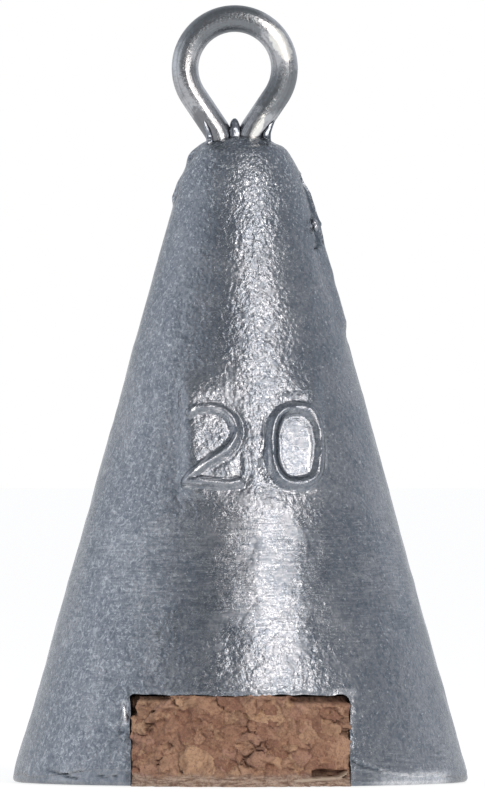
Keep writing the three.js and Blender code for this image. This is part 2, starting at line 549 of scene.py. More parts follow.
@dataclass(frozen=True)
class CastLead:
    """Dull blue-grey lead with the fine hammered grain of its mould.

    Higher up it is hammered deeper, with more dust and fewer swells, and painted darker as shade.
    The left side has leafy flecks of painted highlight and painted shade that stand in for its lit
    grain, and a band below the number is dragged flat. Painted glints are strewn over it, more on
    the crown. Each of these zones is given by the places where it eases in and, for the band, out
    again.
    """

    pale: Colour = opaque(150, 153, 159)
    dull: Colour = opaque(114, 121, 131)
    # Dark for pits and scratch lines, and for painted shade.
    pit_and_shade: Colour = opaque(82, 92, 103)
    # Pale for scratch lines, and for painted highlights and glints.
    speck_and_glint: Colour = opaque(206, 210, 215)
    # Pale for the rubbed rim and for painted highlights.
    pale_and_highlight: Colour = opaque(226, 228, 233)
    metallic: float = 0.92
    edge_tint: Colour = (0.72, 0.72, 0.72, 1.0)
    crinkle_size: float = 0.17
    crinkle_depth: float = 0.031
    roughness: float = 0.22
    crown: tuple[float, float] = (19.0, 22.5)
    upper: tuple[float, float] = (10.0, 19.0)
    leafy_painted_light: tuple[float, float] = (-0.5, -3.5)
    dragged: tuple[float, float, float, float] = (5.3, 6.3, 9.2, 10.1)

    def material(self) -> Material:
        """Builds the finish.

        Returns:
            The material.
        """
        net = Surface("cast_lead")
        burnished, painted_recess_shade, rubbed_and_highlit = map(net.share, ("burnished", "painted_recess_shade", "rubbed_and_highlit"))
        up = net.along("Z")
        crown = up.eased(*self.crown)
        upper = up.eased(*self.upper)
        calm = 1 - burnished * 0.86
        leafy_painted_light = net.along("X").eased(*self.leafy_painted_light) * calm
        dragged = (up + (net.grain(1.6, warp=0.4) - 0.5) * 4).between(*self.dragged)
        scored = dragged.greater(net.grain(2.6, detail=2).eased(0.52, 0.66) * (1 - upper))

        hammered = net.cells(self.crinkle_size, 0.6)
        crinkle = net.grain(self.crinkle_size * 1.25, detail=2, warp=1.3)
        lumps = net.grain(self.crinkle_size * 3, detail=2, warp=0.6)
        cast = (hammered * 0.85 + crinkle * 0.95 + lumps * 1.7) * (0.68 + upper * 0.3)
        swells = net.grain(1.3, detail=2, warp=0.5) * (1 - upper)
        dust = net.grain(0.06, detail=1)
        drawn = net.grain(0.4, detail=4, coarse=0.65, place=net.layered(13))
        lines = net.grain(0.7, coarse=0.6, place=net.layered(10))
        normal = net.bent(
            ((cast * (1 - dragged * 0.7) + swells * 2) * calm, self.crinkle_depth),
            (dust * calm * (1 + crown * 3.5), 0.006),
            (drawn * (1 - crown * 0.8), 0.010),
            (lines * scored * calm, 0.014),
        )

        cloud = net.grain(2.4, detail=4, coarse=0.6, warp=0.5).eased(0.38, 0.66)
        freckle = net.grain(0.17, coarse=0.7, warp=0.6).eased(0.36, 0.64)
        fleck = net.grain(0.24, coarse=0.6, warp=1.5)
        pits = net.grain(0.13, detail=2).eased(0.38, 0.26)
        painted_glints = (net.grain(0.1, detail=2, warp=0.9) + crown * 0.07).eased(0.61, 0.73)
        colour = net.coated(
            self.dull,
            # The pale share falls higher up: painted shade that darkens the upper flank.
            (cloud * 0.45 + freckle * (0.72 - upper * 0.17) - 0.05 - upper * 0.13, self.pale),
            # Leafy flecks on the left: painted highlight and painted shade for its lit grain.
            (fleck.eased(0.52, 0.64) * leafy_painted_light * 0.4, self.speck_and_glint),
            (fleck.eased(0.47, 0.35) * leafy_painted_light * 0.34, self.pit_and_shade),
            (lines.eased(0.5, 0.36) * scored * 0.35, self.pit_and_shade),
            (lines.eased(0.54, 0.68) * scored * 0.2, self.speck_and_glint),
            (pits * 0.6 * calm, self.pit_and_shade),
            # Painted glints.
            (painted_glints * 0.65 * calm, self.speck_and_glint),
            # Paler where the rim is rubbed, and painted highlights by the slot and on the number.
            (rubbed_and_highlit * freckle.eased(0, 1, 0.5, 0.85), self.pale_and_highlight),
            # Painted shade in the cracks and deep in the slot.
            (painted_recess_shade * 0.75, self.pit_and_shade),
        )
        dulled = net.grain(0.8).eased(0.3, 0.7, -0.05, 0.08)
        return net.finish(
            {
                "Base Color": colour,
                "Metallic": self.metallic,
                "Roughness": self.roughness + dulled + painted_recess_shade * 0.2 - burnished * 0.02,
                "Specular Tint": self.edge_tint,
                "Normal": normal,
            }
        )


@dataclass(frozen=True)
class PaintedSpot:
    """A long spot on the wire painted in another colour, seen from the front. Its lean is in degrees.
    """

    middle: tuple[float, float]
    lean: float
    half_length: float
    half_width: float

    def share(self, across: Value, up: Value, torn: Value) -> Value:
        """How far places lie inside the spot.

        Args:
            across: the places' x.
            up: their height.
            torn: what makes its edge ragged.

        Returns:
            1 inside the spot, easing to 0 outside.
        """
        sine, cosine = sin(radians(self.lean)), cos(radians(self.lean))
        x, z = across - self.middle[0], up - self.middle[1]
        along = (x * sine + z * cosine) / self.half_length
        aside = (x * cosine - z * sine) / self.half_width
        return (along * along + aside * aside + torn).eased(1.35, 0.75)


@dataclass(frozen=True)
class DrawnSteel:
    """Bright steel wire with the fine dark streaks of the die it was drawn through.

    It is worn dull over the top left of the loop, and painted darker down its lower right as
    shade. Painted highlights lie low on the right leg and on the bend at the upper right, and a
    darker spot low on the left leg. Each of these dark zones is given by the places where it eases
    in and, for a band, out again.
    """

    bright: Colour = opaque(178, 180, 184)
    streak: Colour = opaque(106, 108, 112)
    dulled: Colour = opaque(106, 113, 118)
    # Pale for painted highlights.
    pale_and_highlight: Colour = opaque(240, 240, 236)
    edge_tint: Colour = (0.8, 0.8, 0.8, 1.0)
    roughness: float = 0.17
    worn_above: tuple[float, float] = (26.4, 27.3)
    worn_left_of: tuple[float, float] = (1.0, 0.5)
    # The right-hand zone and band are painted shade.
    shaded_right_of: tuple[float, float] = (0.4, 0.8)
    shaded_between: tuple[float, float, float, float] = (24.15, 24.6, 25.6, 26.5)
    # Painted highlights low on the right leg and on the upper right bend, and a darker spot low on
    # the left leg.
    foot: PaintedSpot = PaintedSpot((0.63, 23.9), 26, 0.5, 0.17)
    bend: PaintedSpot = PaintedSpot((1.44, 27.0), -31, 0.74, 0.27)
    darker_spot: PaintedSpot = PaintedSpot((-1.27, 23.95), -32, 0.75, 0.27)

    def material(self) -> Material:
        """Builds the finish.

        Returns:
            The material.
        """
        net = Surface("drawn_steel")
        given = {"X": net.share("round_x"), "Y": net.share("round_y"), "Z": net.share("along") * 60}
        given = {"Vector": net.out("ShaderNodeCombineXYZ", "Vector", given), "Scale": 7.0}
        given |= {"Detail": 4.0, "Roughness": 0.65}
        streaks = net.value("ShaderNodeTexNoise", 0, given)
        dints = net.grain(0.12)
        patches = net.grain(0.9, warp=0.4).eased(0.45, 0.7)

        across, up = net.along("X"), net.along("Z")
        torn = (net.grain(0.25, coarse=0.65) - 0.5) * 1.2
        # Worn dull over the top left, and painted shade down the lower right; worn holds both.
        high = (up + torn).eased(*self.worn_above) * (across + torn).eased(*self.worn_left_of)
        beside = (across + torn).eased(*self.shaded_right_of)
        worn = high.greater(beside * (up + torn).between(*self.shaded_between))
        ragged = (net.grain(0.2, coarse=0.65) - 0.5) * 1.8
        spots = (self.foot, self.bend, self.darker_spot)
        foot, bend, darker_spot = (spot.share(across, up, ragged) for spot in spots)

        colour = net.coated(
            self.bright,
            (streaks.eased(0.52, 0.36) * 0.55, self.streak),
            (patches * 0.3 + dints.eased(0.5, 0.3) * 0.3, self.streak),
            (worn * 0.82, net.coated(self.streak, (dints.eased(0.35, 0.6), self.dulled))),
            # Painted highlights.
            (foot.greater(bend) * 0.85, self.pale_and_highlight),
            # A darker spot low on the left leg.
            (darker_spot * 0.8, self.streak),
        )
        rough = self.roughness + streaks.eased(0.5, 0.3) * 0.12 + patches * 0.06
        return net.finish(
            {
                "Base Color": colour,
                "Metallic": 1.0,
                "Roughness": rough + worn * 0.12 + bend * 0.2,
                "Specular Tint": self.edge_tint,
                "Normal": net.bent((streaks, 0.012), (dints * (1 + worn * 1.6), 0.0075)),
            }
        )


@dataclass(frozen=True)
class PressedCork:
    """Ground cork pressed into a block: flakes of several browns, painted shade in the gaps."""

    tints: tuple[Colour, ...] = (
        opaque(147, 109, 92),
        opaque(172, 134, 112),
        opaque(187, 150, 125),
        opaque(174, 136, 120),
        opaque(162, 128, 108),
        opaque(193, 158, 130),
    )
    # Painted shade for the gaps and the broken-away hollows.
    gap: Colour = opaque(70, 52, 44)
    fibre: Colour = opaque(118, 88, 74)
    fresh: Colour = opaque(188, 152, 122)
    smeared: Colour = opaque(186, 168, 155)
    streak: Colour = opaque(112, 94, 84)
    curl: Colour = opaque(196, 178, 160)
    roughness: float = 0.86
    gloss: float = 0.25

    def material(self) -> Material:
        """Builds the finish.

        Returns:
            The material.
        """
        net = Surface("pressed_cork")
        last = len(self.tints)
        stops = [((i + 0.5) / last, tint) for i, tint in enumerate(self.tints)]
        tint = net.out("ShaderNodeValToRGB", "Color", {"Fac": net.share("flake")}, stops=stops)
        inside = net.out("ShaderNodeAttribute", "Vector", attribute_name="flake_place")
        fibre = net.grain(0.16, detail=4, coarse=0.65, warp=0.7, place=inside)
        blotch = net.grain(0.4, detail=4, coarse=0.65, warp=0.7)
        stain = net.grain(1.1, detail=4, coarse=0.6, warp=0.8)
        crumb = net.grain(0.12, coarse=0.7, warp=0.5)
        dust = net.grain(0.085, coarse=0.75, warp=0.6)
        layered = net.grain(0.36, detail=4, coarse=0.75, place=net.layered(5))
        smeared = net.coated(self.streak, (layered.eased(0.4, 0.6), self.smeared))
        colour = net.coated(
            tint,
            (fibre.eased(0.54, 0.32) * 0.5, self.fibre),
            (stain.eased(0.50, 0.34) * 0.4, self.fibre),
            (blotch.eased(0.5, 0.68) * 0.45, self.fresh),
            (net.share("smeared") * 0.8, smeared),
            (crumb.eased(0.46, 0.32) * 0.6, self.fibre),
            (crumb.eased(0.58, 0.70) * 0.4, self.fresh),
            (dust.eased(0.48, 0.36) * 0.45, self.fibre),
            (dust.eased(0.53, 0.66) * 0.45, self.fresh),
            # Painted shade in the gaps and the broken-away hollows.
            (net.share("gap"), self.gap),
            (net.share("curl"), self.curl),
        )
        return net.finish(
            {
                "Base Color": colour,
                "Roughness": self.roughness - blotch * 0.1,
                "Specular IOR Level": self.gloss,
                "Normal": net.bent((fibre + blotch, 0.05), (crumb, 0.05), (dust, 0.03)),
            }
        )


# The wire eye


@dataclass(frozen=True)
class WireEye:
    """One drawn wire bent to a loop, whose two legs run down into the lead and splay."""

    finish: DrawnSteel
    diameter: float = 0.98
    inner_diameter: float = 2.65
    middle: float = 26.06
    offset: float = -0.205
    leg_lean: float = radians(34)
    leg_pitch: float = 1.06
    neck_bend: float = 0.3
    foot_height: float = 17.3
    foot_splay: float = 0.55
    foot_length: float = 1.3
    foot_bend: float = 0.35
    twist: float = 0.03
    sides: int = 40
    spacing: float = 0.06
    crease: float = 50.0

    def path(self, extra: float = 0.0) -> Array:
        """The wire's middle line, from one foot up round the loop to the other.

        Args:
            extra: how much further each foot runs.

        Returns:
            The points of the line in the XZ plane.
        """
        radius = (self.inner_diameter + self.diameter) / 2
        lean, side = self.leg_lean, self.leg_pitch / 2
        neck = -radius * sin(lean) - (radius * cos(lean) - side) / tan(lean)
        splay = asin(self.foot_splay / self.foot_length)
        up, out = np.array([0, 1]), np.array([sin(lean), cos(lean)])
        down = np.array([sin(splay), -cos(splay)])
        corner, ankle = np.array([side, neck]), np.array([side, self.foot_height - self.middle])

        def bend(knee: Array, back: Array, ahead: Array) -> Array:
            """A round bend at a knee, which starts back from it and ends ahead of it."""
            t = np.linspace(0, 1, 9)[:, None]
            return (1 - t) ** 2 * (knee + back) + 2 * t * (1 - t) * knee + t**2 * (knee + ahead)

        turn = np.linspace(-lean, pi / 2, 60)[:, None]
        tip = ankle + down * (self.foot_length + extra)
        foot = bend(ankle, down * self.foot_bend, up * self.foot_bend)
        shoulder = bend(corner, -up * self.neck_bend, out * self.neck_bend)
        half = np.vstack([tip, foot, shoulder, radius * np.hstack([np.cos(turn), np.sin(turn)])])
        line = np.vstack([half, half[-2::-1] * np.array([-1, 1])])[::-1]
        return line + np.array([self.offset, self.middle])

    def swept(self, name: str, grow: float, sides: int) -> Object:
        """Sweeps a round section along the wire's line with geometry nodes.

        Args:
            name: the object's name.
            grow: how much thicker all round than the wire it is.
            sides: the sides of its section.

        Returns:
            The object, with its mesh made plain.
        """
        flat = self.path(grow)
        x, z = flat[:, 0] - self.offset, flat[:, 1] - self.middle
        behind = -self.twist * x * z * ease(-2.4, -1.0, z)
        places = np.stack([flat[:, 0], behind, flat[:, 1]], axis=1)
        mesh = bpy.data.meshes.new(name)
        mesh.from_pydata((places * MM).tolist(), [(i, i + 1) for i in range(len(places) - 1)], [])
        wire = placed(name, mesh)
        modifier = wire.modifiers.new("Swept wire", "NODES")
        modifier.node_group, sockets = self._tree()
        modifier[sockets["Thickness"]] = (self.diameter / 2 + grow) * MM
        modifier[sockets["Sides"]] = sides
        modifier[sockets["Spacing"]] = self.spacing * MM
        modifier[sockets["Finish"]] = bpy.data.materials.get("drawn_steel")
        settled(wire)
        return wire

    @staticmethod
    def _tree() -> tuple[bpy.types.NodeTree, dict[str, str]]:
        """Builds the node tree that sweeps the wire.

        Returns:
            The tree, and the identifier of each of its inputs by name.
        """
        tree = bpy.data.node_groups.new("swept_wire", "GeometryNodeTree")
        net = Network(tree)
        kinds = {"Line": "Geometry", "Thickness": "Float", "Sides": "Int", "Spacing": "Float"}
        kinds |= {"Finish": "Material"}
        sockets = {}
        for name, kind in kinds.items():
            socket_type = f"NodeSocket{kind}"
            made = tree.interface.new_socket(name, in_out="INPUT", socket_type=socket_type)
            sockets[name] = made.identifier
        tree.interface.new_socket("Wire", in_out="OUTPUT", socket_type="NodeSocketGeometry")

        def made_by(kind: str, output: str, inputs: Inputs = None, **settings: Any) -> Socket:
            """Adds a geometry node and gives its output."""
            return net.out(f"GeometryNode{kind}", output, inputs, **settings)

        def stored(shape: Socket, name: str, value: Any) -> Socket:
            """Keeps a number at each point of a curve.

            Args:
                shape: the curve.
                name: the attribute's name.
                value: the number.

            Returns:
                The curve.
            """
            settings = {"data_type": "FLOAT", "domain": "POINT"}
            inputs = {"Geometry": shape, "Name": name, "Value": value}
            return made_by("StoreNamedAttribute", "Geometry", inputs, **settings)

        given = net.node("NodeGroupInput").outputs
        line = made_by("MeshToCurve", "Curve", {"Mesh": given["Line"]})
        spaced = {"Curve": line, "Length": given["Spacing"]}
        line = made_by("ResampleCurve", "Curve", spaced, mode="LENGTH")
        line = stored(line, "along", made_by("SplineParameter", "Length"))
        thick = {"Resolution": given["Sides"], "Radius": given["Thickness"]}
        ring = made_by("CurvePrimitiveCircle", "Curve", thick)
        place = {"Vector": made_by("InputPosition", "Position")}
        for name, axis in (("round_x", "X"), ("round_y", "Y")):
            share = net.value("ShaderNodeSeparateXYZ", axis, place) / given["Thickness"]
            ring = stored(ring, name, share)
        swept = {"Curve": line, "Profile Curve": ring, "Fill Caps": True}
        real = {"Geometry": made_by("CurveToMesh", "Mesh", swept)}
        dressed = {"Geometry": made_by("RealizeInstances", "Geometry", real)}
        dressed |= {"Material": given["Finish"]}
        net.node("NodeGroupOutput", {"Wire": made_by("SetMaterial", "Geometry", dressed)})
        return tree, sockets

    def build(self) -> Object:
        """Makes the wire, dresses it and lets it stand for its solid.

        Returns:
            The wire.
        """
        self.finish.material()
        wire = self.swept("wire_loop", 0.0, self.sides)
        rounded_shading(wire.data, self.crease)
        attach(wire, "root")
        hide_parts("wire_eye")
        return wire


# The lead casting


@dataclass(frozen=True)
class RaisedNumber:
    """The weight in grams, raised on the front of the cone.

    Its lines are drawn on the flank, about the number's middle at an azimuth and a height. The
    flatter field round it lies at a share of the flank's radius, and fades out from its middle
    between two distances across and up. Nothing of it lies beyond its reach each way.
    """

    azimuth: float = 6.9
    height: float = 12.3
    relief: float = 0.21
    moat_depth: float = 0.025
    moat_width: float = 0.09
    two_half: float = 0.25
    zero_half: float = 0.3
    zero_middle: tuple[float, float] = (1.5, -0.03)
    zero_half_width: float = 0.93
    zero_half_height: float = 1.42
    zero_squareness: float = 2.6
    zero_facing: float = 13.0
    zero_floor: float = 0.03
    field_radius: float = 0.972
    field_middle: tuple[float, float] = (-0.1, 0.3)
    field_across: tuple[float, float] = (3.0, 2.05)
    field_up: tuple[float, float] = (2.6, 1.5)
    field_flatness: float = 0.42
    more_flat_left: float = 0.33
    reach: tuple[float, float] = (4.2, 4.5)
    waver: float = 0.03
    uneven: Unevenness = field(default_factory=lambda: Unevenness(11))
    two: Curve = (
        (-2.32, 1.14), (-1.98, 1.34), (-1.45, 1.40), (-1.0, 1.2), (-0.76, 0.83), (-0.73, 0.38),
        (-0.95, -0.03), (-1.35, -0.36), (-1.76, -0.67), (-2.1, -0.95), (-2.44, -1.25),
        (-2.66, -1.45),
    )
    foot: Curve = ((-2.66, -1.45), (-2.07, -1.40), (-1.39, -1.43), (-1.0, -1.43), (-0.66, -1.33))
    foot_curl: Curve = ((-0.75, -1.37), (-0.52, -1.16), (-0.42, -0.75), (-0.47, -0.35))

    def zero_line(self) -> Array:
        """The middle line of the zero's stroke.

        Returns:
            The line's points, one a row.
        """
        power = 2 / self.zero_squareness
        across, up = superellipse(np.linspace(0, 2 * pi, 73), power, power)
        size = np.array([self.zero_half_width, self.zero_half_height])
        return self.zero_middle + size * np.stack([across, up], axis=1)

    def inside_zero(self, places: Array) -> Array:
        """How far inside the zero's stroke places lie.

        Args:
            places: places on the flank about the number's middle.

        Returns:
            1 in the zero's field, easing to 0 under its stroke.
        """
        power = self.zero_squareness
        across = np.abs(places[..., 0] - self.zero_middle[0]) / self.zero_half_width
        up = np.abs(places[..., 1] - self.zero_middle[1]) / self.zero_half_height
        return ease(1.0, 0.8, (across**power + up**power) ** (1 / power))

    def stroke(self, distance: Array, half: float) -> Array:
        """The relief of a stroke.

        Args:
            distance: how far places lie from the stroke's middle line.
            half: half its width.

        Returns:
            The height, below 0 in the moat round it.
        """
        moat = hump(distance, half, self.moat_width)
        round_top = 0.5 + 0.5 * np.cos(pi * np.clip(distance / half, 0, 1))
        return self.relief * round_top**0.8 - self.moat_depth * moat

    def heights(self, places: Array) -> Array:
        """The number's relief.

        Args:
            places: places on the flank about the number's middle.

        Returns:
            The heights.
        """
        flat = np.concatenate([places, np.zeros((*places.shape[:-1], 1))], axis=-1)
        waver = self.waver * self.uneven.at(flat, 0.34)
        lines = (self.two, self.foot, self.foot_curl)
        two, foot, curl = (distance_to_curve(places, line) + waver for line in lines)
        strokes = [
            self.stroke(np.minimum(two, foot), self.two_half),
            self.stroke(curl, self.two_half * 0.55) * 0.3,
            self.stroke(distance_to_line(places, self.zero_line()) + waver, self.zero_half),
        ]
        raised = np.max(strokes, axis=0)
        return np.where(raised > 0, raised, np.min(strokes, axis=0))


@dataclass(frozen=True)
class HighlightEdge:
    """An edge of the raised number with a painted highlight, seen from the front."""

    line: Curve
    half_width: float
    share: float


@dataclass(frozen=True)
class Groove:
    """A crack, fold or scratch along a line on the lead, seen from the front."""

    line: Curve
    width: float
    depth: float
    lip: float = 0.0


@dataclass(frozen=True)
class Rib:
    """What is left of the flash down a stretch of one side.

    It runs between two heights at an azimuth and grows in over its rise.
    """

    azimuth: float
    low: float
    high: float
    rise: float
    proud: float


@dataclass(frozen=True)
class Sliver:
    """A small upright sliver of lead with flat faces and round edges.

    Its front face looks towards the azimuth facing. Each stop from the bottom up gives the
    height, the middle's x and y, half the width and half the thickness.
    """

    name: str
    facing: float
    stops: Curve
    sides: int = 20
    raggedness: float = 0.16

    def solid(self, uneven: Unevenness) -> Object:
        """Makes the sliver.

        Args:
            uneven: what makes it ragged.

        Returns:
            The object.
        """
        line = rounded_line(self.stops, 4)
        half_width, half_depth = line[:, 3:4], line[:, 4:5]
        turn = np.arange(self.sides) / self.sides * 2 * pi
        across, deep = superellipse(turn, 0.7, 0.45)
        across, deep = across * half_width, deep * half_depth
        sine, cosine = sin(radians(self.facing)), cos(radians(self.facing))
        rings = np.zeros((*across.shape, 3))
        rings[..., 0] = line[:, 1:2] + across * cosine - deep * sine
        rings[..., 1] = line[:, 2:3] + across * sine + deep * cosine
        rings[..., 2] = line[:, 0:1]
        wander = uneven.at(rings + 60, 0.16)
        rings[..., 0] += self.raggedness * wander * half_width
        rings[..., 1] += self.raggedness * wander * half_depth
        return lofted(self.name, rings)


@dataclass
class Spots:
    """Places on the plain cone, with the azimuth, height and radius of each."""

    places: Array
    azimuth: Array
    height: Array
    radius: Array

    def beside(self, side: float, torn: Array) -> Array:
        """How far round the cone the places lie from an azimuth, give or take a torn edge."""
        return np.abs(np.radians(self.azimuth - side) * self.radius + 0.05 * torn)


@dataclass
class LeadCasting:
    """The cast cone with its slot, its raised number and what the casting left on it.

    The painted highlight edges lie along parts of the number. The slot's corners are the radii
    on the left and on the right. Each wave of the cast surface is given as its height, size and
    shift. Four more marks are painted paler: the rubbed rim and a painted highlight round the
    slot's corner, by where they ease in and out from left to right, and painted highlights on the
    burr and on a facet, by their x and z.
    """

    finish: CastLead
    number: RaisedNumber
    wire: WireEye
    base_diameter: float = 16.62
    top_diameter: float = 3.72
    body_height: float = 23.5
    rim_height: float = 0.55
    rim_lean: float = radians(13)
    edge_radius: float = 0.15
    taper_radius: float = 4.5
    taper_lean: float = radians(34)
    shoulder_radius: float = 0.75
    crown_tilt: float = radians(18)
    slot_width: float = 7.96
    slot_height: float = 3.3
    slot_corners: tuple[float, float] = (0.16, 0.42)
    slot_half_length: float = 9.3
    cast_gap: float = 0.03
    channel_sides: int = 24
    crease: float = 42.0
    waves: tuple[tuple[float, float, float], ...] = ((0.022, 2.3, 0), (0.011, 0.8, 50))
    mound_heights: tuple[float, float] = (22.6, 23.0)
    mound_middle: float = -0.15
    mound_edge: tuple[float, float] = (1.5, 0.95)
    mound_rise: float = 0.13
    rim_worn: float = 0.56
    rim_worn_less: float = 0.30
    fold_above_rim: float = 0.12
    fold_rise: float = 0.022
    fold_depth: float = 0.03
    lip_away: float = 0.2
    lip_width: float = 0.09
    lip_rise: float = 0.02
    slot_edge_worn: float = 0.055
    slot_edge_width: float = 0.16
    rib_width: float = 0.14
    rib_spread: float = 0.9
    rib_fade: float = 0.6
    scar_heights: tuple[float, float, float, float] = (0.3, 0.8, 15.9, 16.2)
    scar_rise: float = 0.015
    rim_bright: tuple[float, float, float, float] = (4.5, 5.6, 7.2, 7.9)
    corner_highlight: tuple[float, float, float, float] = (3.1, 3.5, 4.1, 4.3)
    burr_highlight: tuple[float, float] = (-4.18, 2.62)
    facet_highlight: tuple[float, float] = (2.74, 20.34)
    uneven: Unevenness = field(default_factory=lambda: Unevenness(20))
    ribs: tuple[Rib, ...] = (
        Rib(azimuth=90.0, low=16.22, high=22.0, rise=0.6, proud=0.155),
        Rib(azimuth=-90.0, low=21.0, high=22.3, rise=0.4, proud=0.09),
        Rib(azimuth=-90.0, low=22.4, high=23.45, rise=0.5, proud=0.13),
    )
    painted_highlight_edges: tuple[HighlightEdge, ...] = (
        HighlightEdge(((0.8, 13.33), (0.84, 12.6), (0.69, 11.9), (0.72, 11.45), (1.0, 11.0)), 0.06, 0.9),
        HighlightEdge(((1.03, 12.1), (1.05, 11.7), (1.06, 11.3)), 0.09, 0.8),
        HighlightEdge(((2.5, 12.7), (2.53, 12.1), (2.46, 11.4)), 0.06, 0.9),
        HighlightEdge(((3.1, 12.5), (3.14, 12.0), (3.1, 11.5)), 0.05, 0.5),
        HighlightEdge(
            ((-1.7, 13.61), (-1.42, 13.84), (-0.92, 13.88), (-0.49, 13.76), (-0.18, 13.5)), 0.07, 1.0
        ),
        HighlightEdge(((-1.35, 13.49), (-0.96, 13.61), (-0.53, 13.41), (-0.26, 13.1)), 0.07, 0.75),
        HighlightEdge(((-1.35, 11.15), (-0.8, 11.05), (-0.1, 11.11)), 0.06, 1.0),
        HighlightEdge(((-1.97, 10.86), (-1.42, 10.93)), 0.06, 0.9),
        HighlightEdge(((-1.97, 11.07), (-1.54, 11.5), (-1.11, 11.97)), 0.06, 0.8),
    )
    cracks: tuple[Groove, ...] = (
        Groove(((2.20, 22.1), (2.42, 21.5), (2.66, 20.75)), 0.07, 0.11, 0.035),
        Groove(((2.69, 20.2), (2.80, 19.95), (2.87, 19.65), (2.76, 19.48)), 0.085, 0.14, 0.05),
        Groove(((-4.36, 1.97), (-4.02, 1.8)), 0.07, 0.09),
        Groove(((-7.05, 0.56), (-6.5, 0.38), (-5.85, 0.24)), 0.06, 0.05, 0.03),
        Groove(((-5.15, 0.42), (-4.8, 0.36), (-4.4, 0.42)), 0.05, 0.05, 0.03),
        Groove(((4.05, 0.95), (4.4, 0.76), (5.05, 0.54)), 0.08, 0.06, 0.04),
        Groove(((0.1, 18.03), (0.5, 18.07), (1.0, 18.17)), 0.05, 0.025, 0.015),
        Groove(((-2.2, 17.11), (-1.7, 17.2), (-1.28, 17.33)), 0.05, 0.02, 0.015),
        Groove(((0.25, 19.41), (0.5, 19.2), (0.77, 18.97)), 0.045, 0.02, 0.015),
        Groove(((0.84, 13.3), (0.9, 12.5), (0.78, 11.7), (0.98, 11.05)), 0.05, 0.035),
        Groove(((1.4, 14.05), (2.0, 14.15), (2.5, 14.25)), 0.04, 0.02, 0.03),
    )
    slivers: tuple[Sliver, ...] = (
        Sliver("left_film", 14.0, (
            (22.9, -1.12, -0.33, 0.17, 0.20), (23.3, -1.12, -0.38, 0.13, 0.13),
            (23.45, -1.115, -0.39, 0.11, 0.10), (23.66, -1.155, -0.42, 0.095, 0.085),
            (23.85, -1.225, -0.45, 0.09, 0.075), (24.02, -1.285, -0.465, 0.07, 0.065),
            (24.12, -1.31, -0.47, 0.03, 0.04),
        )),
        Sliver("right_fin", 14.0, (
            (22.9, 0.95, -0.34, 0.21, 0.20), (23.3, 0.945, -0.33, 0.17, 0.15),
            (23.45, 0.945, -0.31, 0.155, 0.13), (23.65, 0.965, -0.27, 0.145, 0.12),
            (23.83, 1.02, -0.24, 0.13, 0.11), (24.08, 1.15, -0.17, 0.095, 0.09),
            (24.25, 1.285, -0.09, 0.045, 0.05),
        )),
        Sliver("right_chip", 16.0, (
            (20.08, 2.75, -0.86, 0.03, 0.05), (20.20, 2.74, -0.84, 0.09, 0.13),
            (20.44, 2.71, -0.77, 0.10, 0.13), (20.58, 2.68, -0.70, 0.04, 0.06),
        )),
        Sliver("peak", 12.0, (
            (22.8, -0.215, 0.0, 0.36, 0.46), (23.35, -0.21, -0.02, 0.30, 0.42),
            (23.65, -0.21, -0.06, 0.245, 0.34), (23.92, -0.21, -0.09, 0.185, 0.24),
            (24.10, -0.208, -0.09, 0.13, 0.15), (24.19, -0.208, -0.08, 0.08, 0.08),
            (24.23, -0.208, -0.07, 0.03, 0.03),
        )),
        Sliver("burr", 20.0, (
            (2.25, -4.14, -6.40, 0.07, 0.07), (2.45, -4.17, -6.46, 0.07, 0.07),
            (2.7, -4.19, -6.44, 0.065, 0.07), (2.9, -4.21, -6.38, 0.055, 0.06),
            (3.0, -4.22, -6.32, 0.02, 0.02),
        )),
    )

    @property
    def rim_top(self) -> float:
        """The radius where the rim meets the flank.

        Returns:
            The radius.
        """
        edge, lean = self.edge_radius, self.rim_lean
        rise = self.rim_height - edge * (1 + sin(lean))
        return self.base_diameter / 2 - edge * (1 - cos(lean)) - rise * tan(lean)

    @property
    def flank_lean(self) -> float:
        """How far the flank leans in."""
        run = self.rim_top - self.top_diameter / 2
        return atan(run / (self.body_height - self.rim_height))

    def flank_radius(self, height: Any) -> Any:
        """The straight flank's radius at a height."""
        return self.rim_top - (height - self.rim_height) * tan(self.flank_lean)

    def section(self) -> Array:
        """The half section, from near the axis on the base round to near it on the crown.

        Returns:
            Rows of radius, height, and the outward normal's two parts.
        """
        lean, bend, crown = self.flank_lean, self.taper_lean, pi / 2 - self.crown_tilt
        edge, taper, shoulder = self.edge_radius, self.taper_radius, self.shoulder_radius
        inwards = taper * (cos(lean) - cos(bend)) + shoulder * (cos(bend) - cos(crown))
        upwards = taper * (sin(bend) - sin(lean)) + shoulder * (sin(crown) - sin(bend))
        dome_share = tan(self.crown_tilt / 2)
        top = self.body_height - upwards - (self.flank_radius(0) - inwards) * dome_share
        taper_height = top / (1 - dome_share * tan(lean))
        taper_radius = self.flank_radius(taper_height)
        taper_middle = (taper_radius - taper * cos(lean), taper_height - taper * sin(lean))
        gap = taper - shoulder
        shoulder_middle = (taper_middle[0] + gap * cos(bend), taper_middle[1] + gap * sin(bend))
        dome = (taper_radius - inwards) / sin(self.crown_tilt)
        edge_middle = (self.base_diameter / 2 - edge, edge)

        def arc(
            middle: tuple[float, float], radius: float, start: float, end: float, step: float
        ) -> Array:
            """A round stretch of the section, without its first row.

            Args:
                middle: the middle of its circle.
                radius: the circle's radius.
                start: the angle where it starts.
                end: the angle where it ends.
                step: the longest step along it.

            Returns:
                The rows.
            """
            count = max(3, ceil(abs(end - start) * radius / step))
            turn = np.linspace(start, end, count + 1)[1:]
            out = np.stack([np.cos(turn), np.sin(turn)], axis=1)
            return np.hstack([np.array(middle) + radius * out, out])

        def straight(radii: Array, heights: Array, lean: float) -> Array:
            """A straight stretch of the section, whose normal is tilted up by lean."""
            out = np.tile([cos(lean), sin(lean)], (len(radii), 1))
            return np.hstack([np.stack([radii, heights], axis=1), out])

